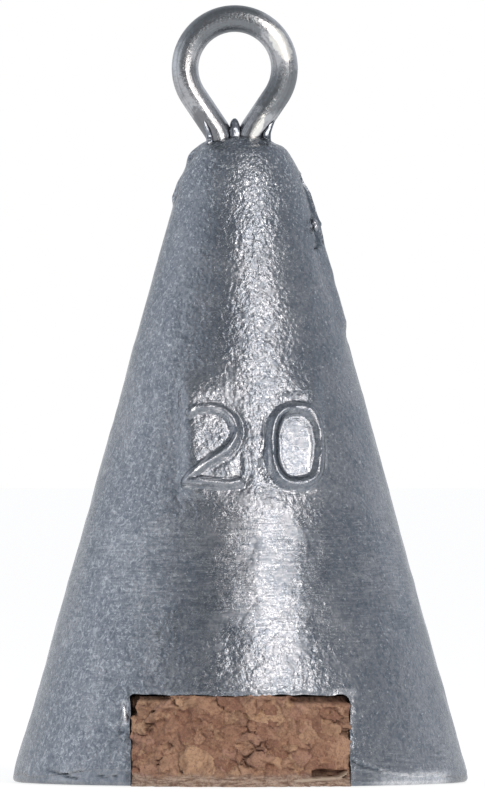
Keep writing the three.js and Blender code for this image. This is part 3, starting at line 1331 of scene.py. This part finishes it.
        base = stations(0.3, ((7.0, 0.55), (edge_middle[0], 0.2)))
        rim = stations(edge * (1 + sin(self.rim_lean)), ((self.rim_height, 0.055),))[1:]
        rim_radii = self.rim_top + (self.rim_height - rim) * tan(self.rim_lean)
        slot_rows = ((1.1, 0.07), (3.1, 0.15), (3.6, 0.07))
        upper_rows = ((10.3, 0.18), (14.4, 0.06), (19.3, 0.17), (taper_height, 0.075))
        flank = stations(self.rim_height, slot_rows + upper_rows)[1:]
        stretches = [
            straight(base, np.zeros(len(base)), -pi / 2),
            arc(edge_middle, edge, -pi / 2, self.rim_lean, 0.06),
            straight(rim_radii, rim, self.rim_lean),
            straight(self.flank_radius(flank), flank, lean),
            arc(taper_middle, taper, lean, bend, 0.08),
            arc(shoulder_middle, shoulder, bend, crown, 0.07),
            arc((0, self.body_height - dome), dome, crown, pi / 2 - 0.1 / dome, 0.11),
        ]
        return np.vstack(stretches)

    def azimuths(self) -> Array:
        """The directions of the grid's columns, which stand closest across the number."""
        left = ((-106, 2.0), (-74, 1.0), (-38, 1.6))
        return stations(-180, (*left, (46, 0.63), (70, 1.6), (106, 1.0), (180, 2.0)))[:-1]

    def relief(self, spots: Spots, upright: Array) -> Array:
        """How far the cast surface stands out from the plain cone.

        Args:
            spots: the places on the plain cone.
            upright: how far each faces sideways, not up or down.

        Returns:
            The distances along the normals.
        """
        places, height = spots.places, spots.height
        above = ease(0.0, 0.5, height)
        waves = self.uneven.layers(places, *self.waves)
        waves += 0.005 * self.uneven.at(places + 90, 0.33) * above
        total = waves * (0.35 + 0.65 * above) - 0.015 * (1 - above)
        total -= (0.04 - 0.04 * places[..., 0] / spots.radius) * ease(1.0, 3.5, height)
        total += self._mound(places)
        side = self._number_relief(spots) + self._flash(spots) + self._grooves(places)
        side += self._rim_folds(spots) + self._slot_lip(places)
        return total + side * ease(0.0, 0.4, upright)

    def _mound(self, places: Array) -> Array:
        """The lead drawn up round the wire on the crown.

        Args:
            places: the places on the plain cone.

        Returns:
            The relief.
        """
        away = np.hypot(places[..., 0] - self.mound_middle, places[..., 1])
        grainy = 0.05 * self.uneven.at(places + 40, 0.28) * ease(1.7, 1.2, away)
        raised = self.mound_rise * ease(*self.mound_edge, away) + grainy
        return ease(*self.mound_heights, places[..., 2]) * raised

    def about_number(self, azimuth: Array, height: Array) -> Array:
        """Where places lie on the flank about the number's middle."""
        across = np.radians(azimuth - self.number.azimuth) * self.flank_radius(height)
        return np.stack([across, (height - self.number.height) / cos(self.flank_lean)], axis=-1)

    def _number_relief(self, spots: Spots) -> Array:
        """The raised number, the flatter field round it and the flat inside its zero.

        Args:
            spots: the places on the plain cone.

        Returns:
            The relief.
        """
        number = self.number
        about = self.about_number(spots.azimuth, spots.height)
        near = np.all(np.abs(about) < number.reach, axis=-1)
        flat, turn, size = about[near], np.radians(spots.azimuth[near]), spots.radius[near]
        across, up = np.abs(flat - number.field_middle).T
        plate = size * (number.field_radius / np.cos(turn - radians(number.azimuth)) - 1)
        left = ease(0.0, -0.9, flat[:, 0])
        level = (number.field_flatness + number.more_flat_left * left) * plate
        level *= ease(*number.field_across, across) * ease(*number.field_up, up)
        inside = number.inside_zero(flat)
        middle = radians(number.azimuth) + number.zero_middle[0] / size
        facing = radians(number.zero_facing)
        facet = size * (np.cos(middle - facing) / np.cos(turn - facing) - 1)
        total = np.zeros(spots.azimuth.shape)
        raised = (facet + number.zero_floor) * inside + number.heights(flat)
        total[near] = level * (1 - inside) + raised
        return total

    def _flash(self, spots: Spots) -> Array:
        """The scar of the flash down each side, where the mould's halves met.

        Args:
            spots: the places on the plain cone.

        Returns:
            The relief.
        """
        height, total = spots.height, np.zeros(spots.azimuth.shape)
        torn = self.uneven.at(spots.places + 30, 0.45)
        reach = self.rib_width + self.rib_spread * ease(20.3, 19.3, height)
        for rib in self.ribs:
            within = ease(0.16 + reach, 0.1, spots.beside(rib.azimuth, torn))
            along = band(rib.low, rib.low + rib.rise, rib.high - self.rib_fade, rib.high, height)
            total += (rib.proud + 0.035 * torn) * within * along
        for side in (90.0, -90.0):
            scar = ease(0.22, 0.1, spots.beside(side, torn))
            total += self.scar_rise * (torn + 0.6) * scar * band(*self.scar_heights, height)
        return total

    def _grooves(self, places: Array) -> Array:
        """The cracks, folds and scratches on the front half.

        Args:
            places: the places on the plain cone.

        Returns:
            The relief.
        """
        total = np.zeros(places.shape[:-1])
        flat = places[..., [0, 2]]
        for crack in self.cracks:
            line = rounded_line(crack.line)
            low, high = line.min(0) - 0.5, line.max(0) + 0.5
            near = np.all((flat > low) & (flat < high), axis=-1) & (places[..., 1] < 0)
            here = places[near]
            distance = distance_to_line(flat[near], line) + 0.03 * self.uneven.at(here + 10, 0.2)
            total[near] -= crack.depth * ease(crack.width, crack.width * 0.2, distance)
            in_order = line[np.argsort(line[:, 0])].T
            over = here[:, 2] > np.interp(here[:, 0], *in_order)
            total[near] += crack.lip * hump(distance, crack.width * 1.6, crack.width) * over
        return total

    def rim_line(self, azimuth: Array, places: Array) -> Array:
        """The height up to which the rim has been rubbed smooth, lower on the two sides."""
        side = ease(0.5, 1.0, np.abs(np.sin(np.radians(azimuth))))
        return self.rim_worn - self.rim_worn_less * side + 0.09 * self.uneven.at(places, 1.1)

    def _rim_folds(self, spots: Spots) -> Array:
        """The broken fold above the rubbed rim.

        Args:
            spots: the places on the plain cone.

        Returns:
            The relief.
        """
        flat = spots.places * np.array([1, 1, 0])
        above = spots.height - self.rim_line(spots.azimuth, flat)
        broken = ease(0.05, 0.45, self.uneven.at(flat + 70, 0.9))
        fold = self.fold_rise * hump(above, self.fold_above_rim, 0.08)
        return (fold - self.fold_depth * hump(above, 0, 0.05)) * broken

    def _slot_lip(self, places: Array) -> Array:
        """The worn edge round the slot.

        Args:
            places: the places on the plain cone.

        Returns:
            The relief.
        """
        x, z = places[..., 0], places[..., 2]
        over, beside = z - self.slot_height, np.abs(x) - self.slot_width / 2
        distance = np.hypot(np.maximum(over, 0), np.maximum(beside, 0))
        wander = 0.6 + 0.5 * self.uneven.at(places + 20, 0.7)
        kept = 1 - 0.7 * ease(3.0, 4.0, x) * ease(3.2, 2.7, z)
        lowered = self.slot_edge_worn * kept * ease(self.slot_edge_width, 0.0, distance)
        return wander * (self.lip_rise * hump(distance, self.lip_away, self.lip_width) - lowered)

    def body(self) -> Object:
        """Turns the section round the axis with its relief, as a closed solid.

        Returns:
            The solid.
        """
        section, turn = self.section(), self.azimuths()
        rows = np.repeat(section[:, None], len(turn), axis=1)
        azimuth = np.repeat(turn[None], len(section), axis=0)
        sine, cosine = np.sin(np.radians(azimuth)), np.cos(np.radians(azimuth))
        radius, height, aside, upward = np.moveaxis(rows, -1, 0)
        places = np.stack([radius * sine, -radius * cosine, height], axis=-1)
        normals = np.stack([aside * sine, -aside * cosine, upward], axis=-1)
        spots = Spots(places, azimuth, height, np.maximum(radius, 0.2))
        moved = places + normals * self.relief(spots, aside)[..., None]
        moved[..., 2] = np.maximum(moved[..., 2], 0)
        return lofted("lead_casting", moved, fans=True)

    def slot_wander(self, places: Array) -> Array:
        """How far the slot's walls wander outwards at places on them."""
        return self.uneven.layers(places, (0.035, 1.4, 5), (0.05, 0.45, 8), (0.02, 0.2, 3))

    def slot_tool(self) -> Object:
        """The bar that cuts the slot, a little uneven along its length.

        Returns:
            The bar.
        """
        half, top = self.slot_width / 2, self.slot_height
        left, right = self.slot_corners

        def corner(x: float, radius: float, start: float, count: int) -> list[tuple[float, float]]:
            """The points of a round corner, whose arc has its middle at x."""
            turns = np.radians(np.linspace(start, start + 90, count))
            return [(x + radius * cos(a), top - radius + radius * sin(a)) for a in turns]

        outline = [(-half, -1.0), (half, -1.0)]
        outline += [(half, z) for z in np.linspace(0, top - right, 30)[:-1]]
        outline += corner(half - right, right, 0, 7)
        outline += [(x, top) for x in np.linspace(half - right, -half + left, 60)[1:-1]]
        outline += corner(-half + left, left, 90, 5)
        outline += [(-half, z) for z in np.linspace(top - left, 0, 30)[1:]]
        flat = np.array(outline)
        stops = np.linspace(self.slot_half_length, -self.slot_half_length, 150)
        rings = np.zeros((len(stops), len(flat), 3))
        rings[..., 0] = flat[:, 0]
        rings[..., 1] = stops[:, None]
        rings[..., 2] = flat[:, 1]
        wander = self.slot_wander(rings)
        rings[..., 0] += wander * np.sign(rings[..., 0]) * (np.abs(rings[..., 0]) > half - 0.5)
        rings[..., 2] += wander * (rings[..., 2] > top - 0.5)
        return lofted("slot_tool", rings)

    def rubbed_and_highlit(self, places: Array) -> Array:
        """Where the lead is painted paler: rubbed on the rim, and painted highlights by the slot,
        on the burr, on a facet by a crack and along the number.

        Args:
            places: places on the casting.

        Returns:
            The shares, 0 to 1.
        """
        x, y, z = places.T
        over = z - self.slot_height
        burr_x, burr_z = self.burr_highlight
        facet_x, facet_z = self.facet_highlight
        ragged, fine = self.uneven.at(places + 15, 0.5), self.uneven.at(places + 25, 0.22)
        rim = band(*self.rim_bright, x) * ease(0.62, 0.35, z + 0.08 * ragged)
        # Painted highlight along the slot's right edge.
        edge = ease(0.16, 0.05, np.abs(x - self.slot_width / 2 - 0.06))
        edge *= ease(3.45, 3.2, z) * ease(0.2, 0.5, ragged + 0.6 * fine) * 0.5
        # Painted highlight on the burr.
        burr = ease(0.16, 0.1, np.abs(x - burr_x)) * ease(0.5, 0.4, np.abs(z - burr_z))
        # Painted highlight round the slot ceiling's right corner.
        corner = ease(-0.14, -0.04, over + 0.1 * ragged) * ease(0.3, 0.12, over)
        corner *= band(*self.corner_highlight, x)
        # Painted highlight on a facet by a crack.
        facet = ease(0.24, 0.17, np.hypot(x - facet_x, (z - facet_z) * 0.7))
        near = (np.abs(x) < 4) & (np.abs(z - self.number.height) < 2.2) & (y < 0)
        # Painted highlights along edges of the number.
        rubbed = np.zeros(len(places))
        for bright in self.painted_highlight_edges:
            distance = distance_to_curve(places[:, [0, 2]][near], bright.line) + 0.03 * fine[near]
            share = bright.share * ease(bright.half_width, 0.01, distance)
            rubbed[near] = np.maximum(rubbed[near], share)
        marks = [rim, edge, corner * 0.6, facet, burr, rubbed]
        return np.clip(ease(-0.5, -1.5, y) * np.max(marks, axis=0), 0, 1)

    def keep_marks(self, mesh: Mesh) -> None:
        """Writes where the lead is rubbed smooth, where it is painted paler and where painted
        shade darkens its cracks and the deep inside of its slot.

        Args:
            mesh: the finished mesh.
        """
        places = corner_places(mesh)
        x, y, height = places.T
        azimuth, radius = np.degrees(np.arctan2(x, -y)), np.hypot(x, y)
        rim = self.rim_line(azimuth, places * np.array([1, 1, 0]))
        about = self.about_number(azimuth, height)
        front = np.abs(azimuth) < 60
        zero = self.number.inside_zero(about) * front
        stroke = ease(0.02, 0.1, self.number.heights(about)) * front
        torn = ease(23.45, 23.6, height) * (radius < 1.7)
        rubbed_and_highlit = self.rubbed_and_highlit(places)
        glint = ease(0.7, 1.0, rubbed_and_highlit)
        rubbed = ease(0.07, -0.05, height - rim)
        bright = np.max([rubbed, zero * 0.6, stroke * 0.55, torn, glint * 0.7], axis=0)
        # The deep inside of the slot and the cracks take painted shade.
        inner = (np.abs(x) < self.slot_width / 2 + 0.05) & (height < self.slot_height + 0.05)
        deep = ease(0.1, 0.6, self.flank_radius(height) - radius)
        cuts = np.clip(-self._grooves(places) / 0.05, 0, 1) * (1 - rubbed_and_highlit)
        keep(mesh, "burnished", np.clip(bright, 0, 1))
        keep(mesh, "rubbed_and_highlit", rubbed_and_highlit)
        keep(mesh, "painted_recess_shade", np.clip(np.maximum(cuts, inner * deep), 0, 1))

    def build(self) -> Object:
        """Makes the casting, dresses it and lets it stand for its solid.

        Returns:
            The casting.
        """
        lead = self.body()
        for sliver in self.slivers:
            combined(lead, sliver.solid(self.uneven), Joining.ADD)
        channel = self.wire.swept("wire_channel", self.cast_gap, self.channel_sides)
        combined(lead, channel, Joining.CUT)
        combined(lead, self.slot_tool(), Joining.CUT)
        self.keep_marks(lead.data)
        rounded_shading(lead.data, self.crease)
        lead.data.materials.clear()
        lead.data.materials.append(self.finish.material())
        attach(lead, "root")
        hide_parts("lead_cone")
        return lead


# The cork strip


@dataclass
class Flakes:
    """Crushed cork: long round flakes, each with its own grain, tilt and tint.

    A flake reaches further along its grain than across it, as its two weights say.
    """

    LIE = np.array([1.9, 1.0, 0.8])
    TYPICAL_SIZE, SIZE_SPREAD, TILT = 0.25, 0.38, 0.3
    WEIGHT_ACROSS, WEIGHT_ALONG = 1.5, 0.45
    MOST_TILT, MOST_MARGIN = 0.08, 0.4

    middles: Array
    sizes: Array
    axes: Array
    sides: Array
    tilts: Array
    tints: Array

    @classmethod
    def scattered(cls, middles: Array, chance: np.random.Generator) -> "Flakes":
        """Makes a flake of its own size and lie about each place.

        Args:
            middles: the flakes' middles.
            chance: what the random numbers come from.

        Returns:
            The flakes.
        """
        count = len(middles)
        axes = chance.normal(size=(count, 3)) * cls.LIE
        axes /= np.linalg.norm(axes, axis=1, keepdims=True)
        sides = np.cross(axes, chance.normal(size=(count, 3)))
        sides /= np.linalg.norm(sides, axis=1, keepdims=True)
        sizes = chance.lognormal(log(cls.TYPICAL_SIZE), cls.SIZE_SPREAD, count)
        tilts = chance.normal(size=(count, 3)) * cls.TILT
        return cls(middles, sizes, axes, sides, tilts, chance.uniform(0, 1, count))

    def showing(self, places: Array) -> tuple[Array, Array, Array]:
        """Finds the flake that shows at each place.

        Args:
            places: places on the block.

        Returns:
            The flake's number, how far inside it the place lies, and how much further than in
            any other flake.
        """
        best = np.full(len(places), -np.inf)
        second = best.copy()
        owner = np.zeros(len(places), int)
        order = np.argsort(places[:, 1])
        along = places[order, 1]
        for i, size in enumerate(self.sizes):
            reach = self.middles[i, 1] + np.array([-2, 2]) * size
            here = order[slice(*np.searchsorted(along, reach))]
            gap = places[here] - self.middles[i]
            close = (np.abs(gap[:, 0]) < 2 * size) & (np.abs(gap[:, 2]) < 2 * size)
            here, gap = here[close], gap[close]
            length = gap @ self.axes[i]
            aside = np.maximum((gap**2).sum(1) - length**2, 0)
            score = size - np.sqrt(aside * self.WEIGHT_ACROSS + length**2 * self.WEIGHT_ALONG)
            wins = score > best[here]
            second[here] = np.maximum(second[here], np.minimum(score, best[here]))
            best[here] = np.maximum(best[here], score)
            owner[here[wins]] = i
        return owner, best, np.clip(best - second, 0, self.MOST_MARGIN)

    def level(self, places: Array, owner: Array) -> Array:
        """How far the flakes stand out.

        Args:
            places: places on the block.
            owner: the number of each place's flake.

        Returns:
            The heights.
        """
        tilt = ((places - self.middles[owner]) * self.tilts[owner]).sum(1) * 1.3
        level = (self.tints[owner] * 7.3 % 1.0 - 0.5) * 0.1
        return np.clip(tilt, -self.MOST_TILT, self.MOST_TILT) + level

    def inside(self, places: Array, owner: Array) -> Array:
        """Where places lie in their flakes.

        Args:
            places: places on the block.
            owner: the number of each place's flake.

        Returns:
            The places, with the third axis along the flake's grain.
        """
        gap = places - self.middles[owner]
        other = np.cross(self.axes, self.sides)
        parts = [(gap * way[owner]).sum(1) for way in (self.sides, other, self.axes * 0.3)]
        apart = [self.tints[owner] * k % 40 for k in (971, 613, 389)]
        return np.stack(parts, axis=1) + np.stack(apart, axis=1)


@dataclass(frozen=True)
class Chip:
    """An edge of the block broken away, by where it eases in across and up."""

    across: tuple[float, float]
    up: tuple[float, float]
    torn: float
    depth: float


@dataclass
class CorkStrip:
    """A block of pressed cork flakes let into the slot, cut to the round of the base.

    The faces across, lengthwise and upwards are counted along the block's three edges. A pocket
    above its smeared lower edge eases in and out again across the front.
    """

    finish: PressedCork
    lead: LeadCasting
    width: float = 7.92
    height: float = 3.28
    recess: float = 0.06
    corner: float = 0.22
    across: int = 168
    lengthwise: int = 104
    upwards: int = 70
    places_tried: int = 26000
    most_flakes: int = 5200
    scatter_reach: float = 8.3
    scatter_depth: float = 0.33
    seed: int = 7
    seam_width: float = 0.02
    seam_depth: float = 0.035
    split_width: float = 0.034
    split_depth: float = 0.09
    bare_depth: float = 0.07
    smeared_below: tuple[float, float] = (0.50, 0.30)
    crease: float = 40.0
    curl: Curve = ((2.0, 0.2), (2.9, 0.27), (3.5, 0.31), (3.9, 0.5))
    chips: tuple[Chip, ...] = (
        Chip(across=(1.5, 2.2), up=(2.95, 3.1), torn=0.5, depth=0.35),
        Chip(across=(-2.5, -3.1), up=(3.05, 3.16), torn=0.3, depth=0.3),
        Chip(across=(-3.72, -3.85), up=(2.4, 2.7), torn=0.0, depth=0.3),
    )
    pocket_across: tuple[float, float, float, float] = (2.5, 2.75, 3.8, 3.95)
    pocket_edge: tuple[float, float] = (0.17, 0.10)
    pocket_height: float = 0.46
    pocket_depth: float = 0.34
    most_broken: float = 0.42
    front: tuple[float, float] = (-5.5, -6.3)
    uneven: Unevenness = field(default_factory=lambda: Unevenness(31))

    def shell(self) -> tuple[Array, list[tuple[int, ...]]]:
        """A closed block of small faces on the unit cube.

        Returns:
            The corners from -1 to 1 on each axis, and the faces.
        """
        counts = (self.across, self.lengthwise, self.upwards)
        numbers: dict[tuple[int, ...], int] = {}
        faces = []
        for axis in range(3):
            first, second = (axis + 1) % 3, (axis + 2) % 3
            for end in (0, counts[axis]):
                for i, j in np.ndindex(counts[first], counts[second]):
                    ring = []
                    for across, up in ((0, 0), (1, 0), (1, 1), (0, 1)):
                        place = [0, 0, 0]
                        place[axis], place[first], place[second] = end, i + across, j + up
                        ring.append(numbers.setdefault(tuple(place), len(numbers)))
                    faces.append(tuple(ring if end else ring[::-1]))
        return np.array(list(numbers)) / np.array(counts) * 2 - 1, faces

    def shaped(self, cube: Array) -> tuple[Array, Array]:
        """Fits the unit cube's skin into the slot and to the cone.

        Args:
            cube: the corners on the unit cube.

        Returns:
            The places of the corners, and the outward normals.
        """
        half = self.width / 2
        x = cube[:, 0] * half
        z = (cube[:, 2] + 1) / 2 * self.height
        cut = np.maximum(np.abs(x) - (half - self.corner), 0)
        lift = np.maximum(z - (self.height - self.corner), 0)
        over = np.hypot(cut, lift)
        pull = np.where(over > self.corner, self.corner / np.maximum(over, TINY), 1)
        x = np.sign(x) * (np.minimum(np.abs(x), half - self.corner) + cut * pull)
        z = np.minimum(z, self.height - self.corner) + lift * pull
        rim = self.lead.base_diameter / 2 - self.recess - z * tan(self.lead.rim_lean)
        reach = np.minimum(self.lead.flank_radius(z) - self.recess, rim)
        y = cube[:, 1] * np.sqrt(reach**2 - x**2)
        places = np.stack([x, y, z], axis=1)
        beside, end = np.abs(cube[:, 0]), ease(0.999, 1.0, np.abs(cube[:, 1]))
        places[:, 0] += self.lead.slot_wander(places) * np.sign(x) * ease(0.95, 1.0, beside)
        outward = np.zeros_like(places)
        outward[:, 0] = ease(0.99, 1.0, beside) * np.sign(x) * 0.25 + end * x / reach
        outward[:, 1] = end * np.sign(y) * np.sqrt(1 - (x / reach) ** 2)
        outward[:, 2] = np.where(cube[:, 2] > 0.99, 0.5, np.where(cube[:, 2] < -0.999, -0.6, 0))
        outward /= np.maximum(np.linalg.norm(outward, axis=1, keepdims=True), TINY)
        return places, outward

    def crushed(self) -> Flakes:
        """Scatters the flakes that reach the block's skin.

        Returns:
            The flakes.
        """
        chance = np.random.default_rng(self.seed)
        reach = np.array([self.width / 2 + 0.2, self.scatter_reach, self.height / 2 + 0.2])
        middles = chance.uniform(-1, 1, (self.places_tried, 3)) * reach
        middles[:, 2] += self.height / 2
        x, y, z = middles.T
        round_end = self.lead.flank_radius(z) - np.hypot(x, y)
        skin = np.min([z, self.height - z, reach[0] - np.abs(x), round_end], axis=0)
        near = np.abs(skin) < self.scatter_depth
        return Flakes.scattered(middles[near][: self.most_flakes], chance)

    def skin(self, places: Array, flakes: Flakes) -> tuple[Array, Array, Array]:
        """The relief of the pressed flakes.

        Args:
            places: places on the block.
            flakes: the flakes.

        Returns:
            For each place the relief in millimetres, how much painted shade it takes in a gap,
            0 to 1, and the number of its flake.
        """
        bends = [
            self.uneven.layers(places, (0.08, 0.34, shift), (0.06, 0.14, -shift))
            for shift in (3, 33, 66)
        ]
        owner, score, margin = flakes.showing(places + np.stack(bends, axis=1))
        parted = self.uneven.at(places + 9, 0.55)
        seam = hump(margin, 0, self.seam_width) * ease(-0.4, 0.3, parted)
        split = hump(margin, 0, self.split_width) * ease(0.28, 0.5, parted)
        bare = ease(-0.02, -0.14, score)
        meeting = 0.3 + 0.7 * ease(0, 0.07, margin)
        crumbs = self.uneven.layers(places, (0.06, 0.12, 4), (0.05, 0.26, 0))
        relief = flakes.level(places, owner) * meeting + crumbs
        relief -= self.seam_depth * seam + self.split_depth * split + self.bare_depth * bare
        return relief, np.max([seam * 0.36, split * 0.66, bare * 0.4], axis=0), owner

    def broken(self, places: Array) -> Array:
        """Where the block's front is broken away, under the slot's ceiling and in a pocket.

        Args:
            places: places on the block.

        Returns:
            How far they are pressed back.
        """
        x, y, z = places.T
        wander = self.uneven.at(places + 12, 0.5)
        foot, low, high, head = self.pocket_across
        pocket = ease(foot, low, x + 0.1 * wander) * ease(head, high, x)
        pocket *= ease(*self.pocket_edge, np.abs(z - self.pocket_height - 0.04 * wander))
        depth = self.pocket_depth * pocket
        for chip in self.chips:
            depth += chip.depth * ease(*chip.across, x + chip.torn * wander) * ease(*chip.up, z)
        return ease(*self.front, y) * np.clip(depth, 0, self.most_broken)

    def build(self) -> Object:
        """Makes the block, dresses it and lets it stand for its solid.

        Returns:
            The block.
        """
        cube, faces = self.shell()
        places, outward = self.shaped(cube)
        flakes = self.crushed()
        relief, gap, owner = self.skin(places, flakes)
        ends = ease(0.99, 1.0, np.abs(cube[:, 1]))
        under = (cube[:, 2] < -0.999) * 0.8
        wander = self.uneven.layers(places, (0.08, 0.7, 0), (0.06, 0.2, 0))
        calm = ease(*self.smeared_below, places[:, 2] + wander) * ends
        relief = (relief * (1 - 0.7 * calm) - 0.01) * (0.3 + 0.7 * np.maximum(ends, under))
        curl = ease(0.075, 0.03, distance_to_curve(places[:, [0, 2]], self.curl))
        curl *= places[:, 1] < -6
        pressed = self.broken(places) * (1 - curl)
        moved = places + outward * (relief - pressed + 0.05 * curl)[:, None]
        moved[:, 2] = np.maximum(moved[:, 2], 0)
        mesh = plain_mesh("cork_block", moved, faces)
        corners = np.array(faces)
        whose = np.repeat(owner[corners[:, 0]], corners.shape[1])
        inside = flakes.inside(places[corners.ravel()], whose)
        keep(mesh, "flake", flakes.tints[whose], Kept.FACE_CORNER)
        keep(mesh, "flake_place", inside, Kept.FACE_CORNER)
        # Gaps and the broken-away hollows take painted shade.
        keep(mesh, "gap", np.clip(gap * (1 - 0.85 * calm) + pressed * 1.9, 0, 1))
        keep(mesh, "smeared", calm)
        keep(mesh, "curl", curl * 0.8)
        cork = placed("cork_block", mesh)
        rounded_shading(mesh, self.crease)
        mesh.materials.append(self.finish.material())
        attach(cork, "root")
        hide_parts("cork_strip")
        return cork


# The studio


def direction(azimuth: float, elevation: float) -> Vector:
    """The way from the weight towards an azimuth and an elevation, in degrees."""
    turn, rise = radians(azimuth), radians(elevation)
    return Vector((sin(turn) * cos(rise), -cos(turn) * cos(rise), sin(rise)))


@dataclass(frozen=True)
class Shade:
    """A darker part of the room, towards an azimuth and an elevation.

    It starts at a wide angle from there and is full at a narrow one, and it takes its share of
    the light, or adds to it where the share is below 0.
    """

    azimuth: float
    elevation: float
    wide: float
    narrow: float
    share: float


@dataclass(frozen=True)
class Studio:
    """The pale floor, the soft light and the camera.

    The floor's two finishes are how much light it scatters and gives off.
    """

    view_height: float = 29.215
    distance: float = 600.0
    aim: tuple[float, float] = (0.078, 13.945)
    sensor: float = 36.0
    near_clip: float = 0.01
    far_clip: float = 20.0
    floor_size: float = 4000.0
    floor_level: float = -0.012
    floor_unseen: tuple[float, float] = (0.4, 0.4)
    floor_seen: tuple[float, float] = (0.3, 0.8)
    lamp_aim: float = 13.0
    lamp_azimuth: float = 22.5
    lamp_elevation: float = 24.0
    lamp_distance: float = 400.0
    lamp_width: float = 148.0
    lamp_height: float = 300.0
    lamp_power: float = 0.9
    lamp_colour: tuple[float, float, float] = (1.0, 0.92, 0.85)
    room_colour: Colour = (0.97, 1.0, 1.05, 1.0)
    shades: tuple[Shade, ...] = (
        Shade(azimuth=-14, elevation=2, wide=44, narrow=14, share=0.72),
        Shade(azimuth=-50, elevation=32, wide=55, narrow=20, share=0.2),
        Shade(azimuth=32, elevation=-8, wide=46, narrow=18, share=0.55),
        Shade(azimuth=75, elevation=12, wide=60, narrow=15, share=0.42),
        Shade(azimuth=0, elevation=80, wide=62, narrow=25, share=0.55),
        Shade(azimuth=-85, elevation=0, wide=45, narrow=15, share=-0.2),
    )

    def camera(self) -> None:
        """Sets the camera level with the middle of the weight, straight in front of it."""
        lens = bpy.data.cameras.new("camera")
        lens.sensor_width = self.sensor
        lens.lens = self.sensor * self.distance / self.view_height
        lens.clip_start, lens.clip_end = self.near_clip, self.far_clip
        camera = placed("camera", lens)
        camera.location = Vector((self.aim[0], -self.distance, self.aim[1])) * MM
        camera.rotation_euler = (pi / 2, 0, 0)
        bpy.context.scene.camera = camera

    def lamp(self) -> None:
        """Hangs one tall soft box in front, to the right and above."""
        light = bpy.data.lights.new("soft_box", "AREA")
        light.shape = "RECTANGLE"
        light.size, light.size_y = self.lamp_width * MM, self.lamp_height * MM
        light.energy = self.lamp_power
        light.color = self.lamp_colour
        lamp = placed("soft_box", light)
        away = direction(self.lamp_azimuth, self.lamp_elevation)
        lamp.location = Vector((0, 0, self.lamp_aim)) * MM + away * self.lamp_distance * MM
        lamp.rotation_euler = away.to_track_quat("Z", "Y").to_euler()
        lamp.visible_camera = False

    def world(self) -> None:
        """Lights the weight all round with soft white, dimmer where the shades are."""
        world = bpy.data.worlds.new("studio")
        bpy.context.scene.world = world
        world.use_nodes = True
        net = Network(world.node_tree)
        seen = net.any_ray("Camera", "Transmission")
        toward = net.out("ShaderNodeTexCoord", "Generated")
        level = net.value("ShaderNodeValue", 0)
        level.socket.default_value = 1.0
        for shade in self.shades:
            given = {0: toward, 1: direction(shade.azimuth, shade.elevation)}
            near = net.value("ShaderNodeVectorMath", "Value", given, operation="DOT_PRODUCT")
            near = near.eased(cos(radians(shade.wide)), cos(radians(shade.narrow)))
            level = level * (1.0 - near * shade.share)

        def light(colour: Colour, strength: Any) -> Socket:
            """Light of one colour from all round."""
            given = {"Color": colour, "Strength": strength}
            return net.out("ShaderNodeBackground", "Background", given)

        given = {0: seen, 1: light(self.room_colour, level), 2: light((1.0, 1.0, 1.0, 1.0), 1.0)}
        both = net.out("ShaderNodeMixShader", "Shader", given)
        net.node("ShaderNodeOutputWorld", {"Surface": both})

    def floor(self) -> Object:
        """Lays the white floor, which keeps the weight's soft shadow and is clear from below.

        Returns:
            The floor.
        """
        half = self.floor_size / 2
        places = np.array([(-half, -half, 0), (half, -half, 0), (half, half, 0), (-half, half, 0)])
        places[:, 2] = self.floor_level
        floor = placed("floor", plain_mesh("floor", places, [(0, 1, 2, 3)]))
        net = Surface("white_floor")

        def mixed(share: Any, first: Socket, second: Socket) -> Socket:
            """Mixes two shaders by the share of the second."""
            return net.out("ShaderNodeMixShader", "Shader", {0: share, 1: first, 2: second})

        def lit(diffuse: float, strength: float) -> Socket:
            """Plain white that also gives off a little light.

            Args:
                diffuse: how much light it scatters.
                strength: how much it gives off.

            Returns:
                The shader.
            """
            faint = net.out("ShaderNodeBsdfDiffuse", "BSDF", {"Color": (*(diffuse,) * 3, 1.0)})
            glow = net.out("ShaderNodeEmission", "Emission", {"Strength": strength})
            return net.out("ShaderNodeAddShader", "Shader", {0: faint, 1: glow})

        seen = net.any_ray("Camera", "Glossy", "Transmission")
        top = mixed(seen, lit(*self.floor_unseen), lit(*self.floor_seen))
        under = net.out("ShaderNodeNewGeometry", "Backfacing")
        whole = mixed(under, top, net.out("ShaderNodeBsdfTransparent", "BSDF"))
        net.node("ShaderNodeOutputMaterial", {"Surface": whole})
        floor.data.materials.append(net.material)
        return floor


def main() -> None:
    """Builds the weight piece by piece in its studio."""
    logging.basicConfig(level=logging.INFO, format="%(message)s")
    studio = Studio()
    studio.camera()
    studio.lamp()
    studio.world()
    studio.floor()
    bpy.context.scene.view_settings.view_transform = "Standard"

    eye = WireEye(DrawnSteel())
    casting = LeadCasting(CastLead(), RaisedNumber(), eye)
    strip = CorkStrip(PressedCork(), casting)
    for piece in (eye.build(), casting.build(), strip.build()):
        LOG.info("%s: %d faces", piece.name, len(piece.data.polygons))


if __name__ == "__main__":
    main()
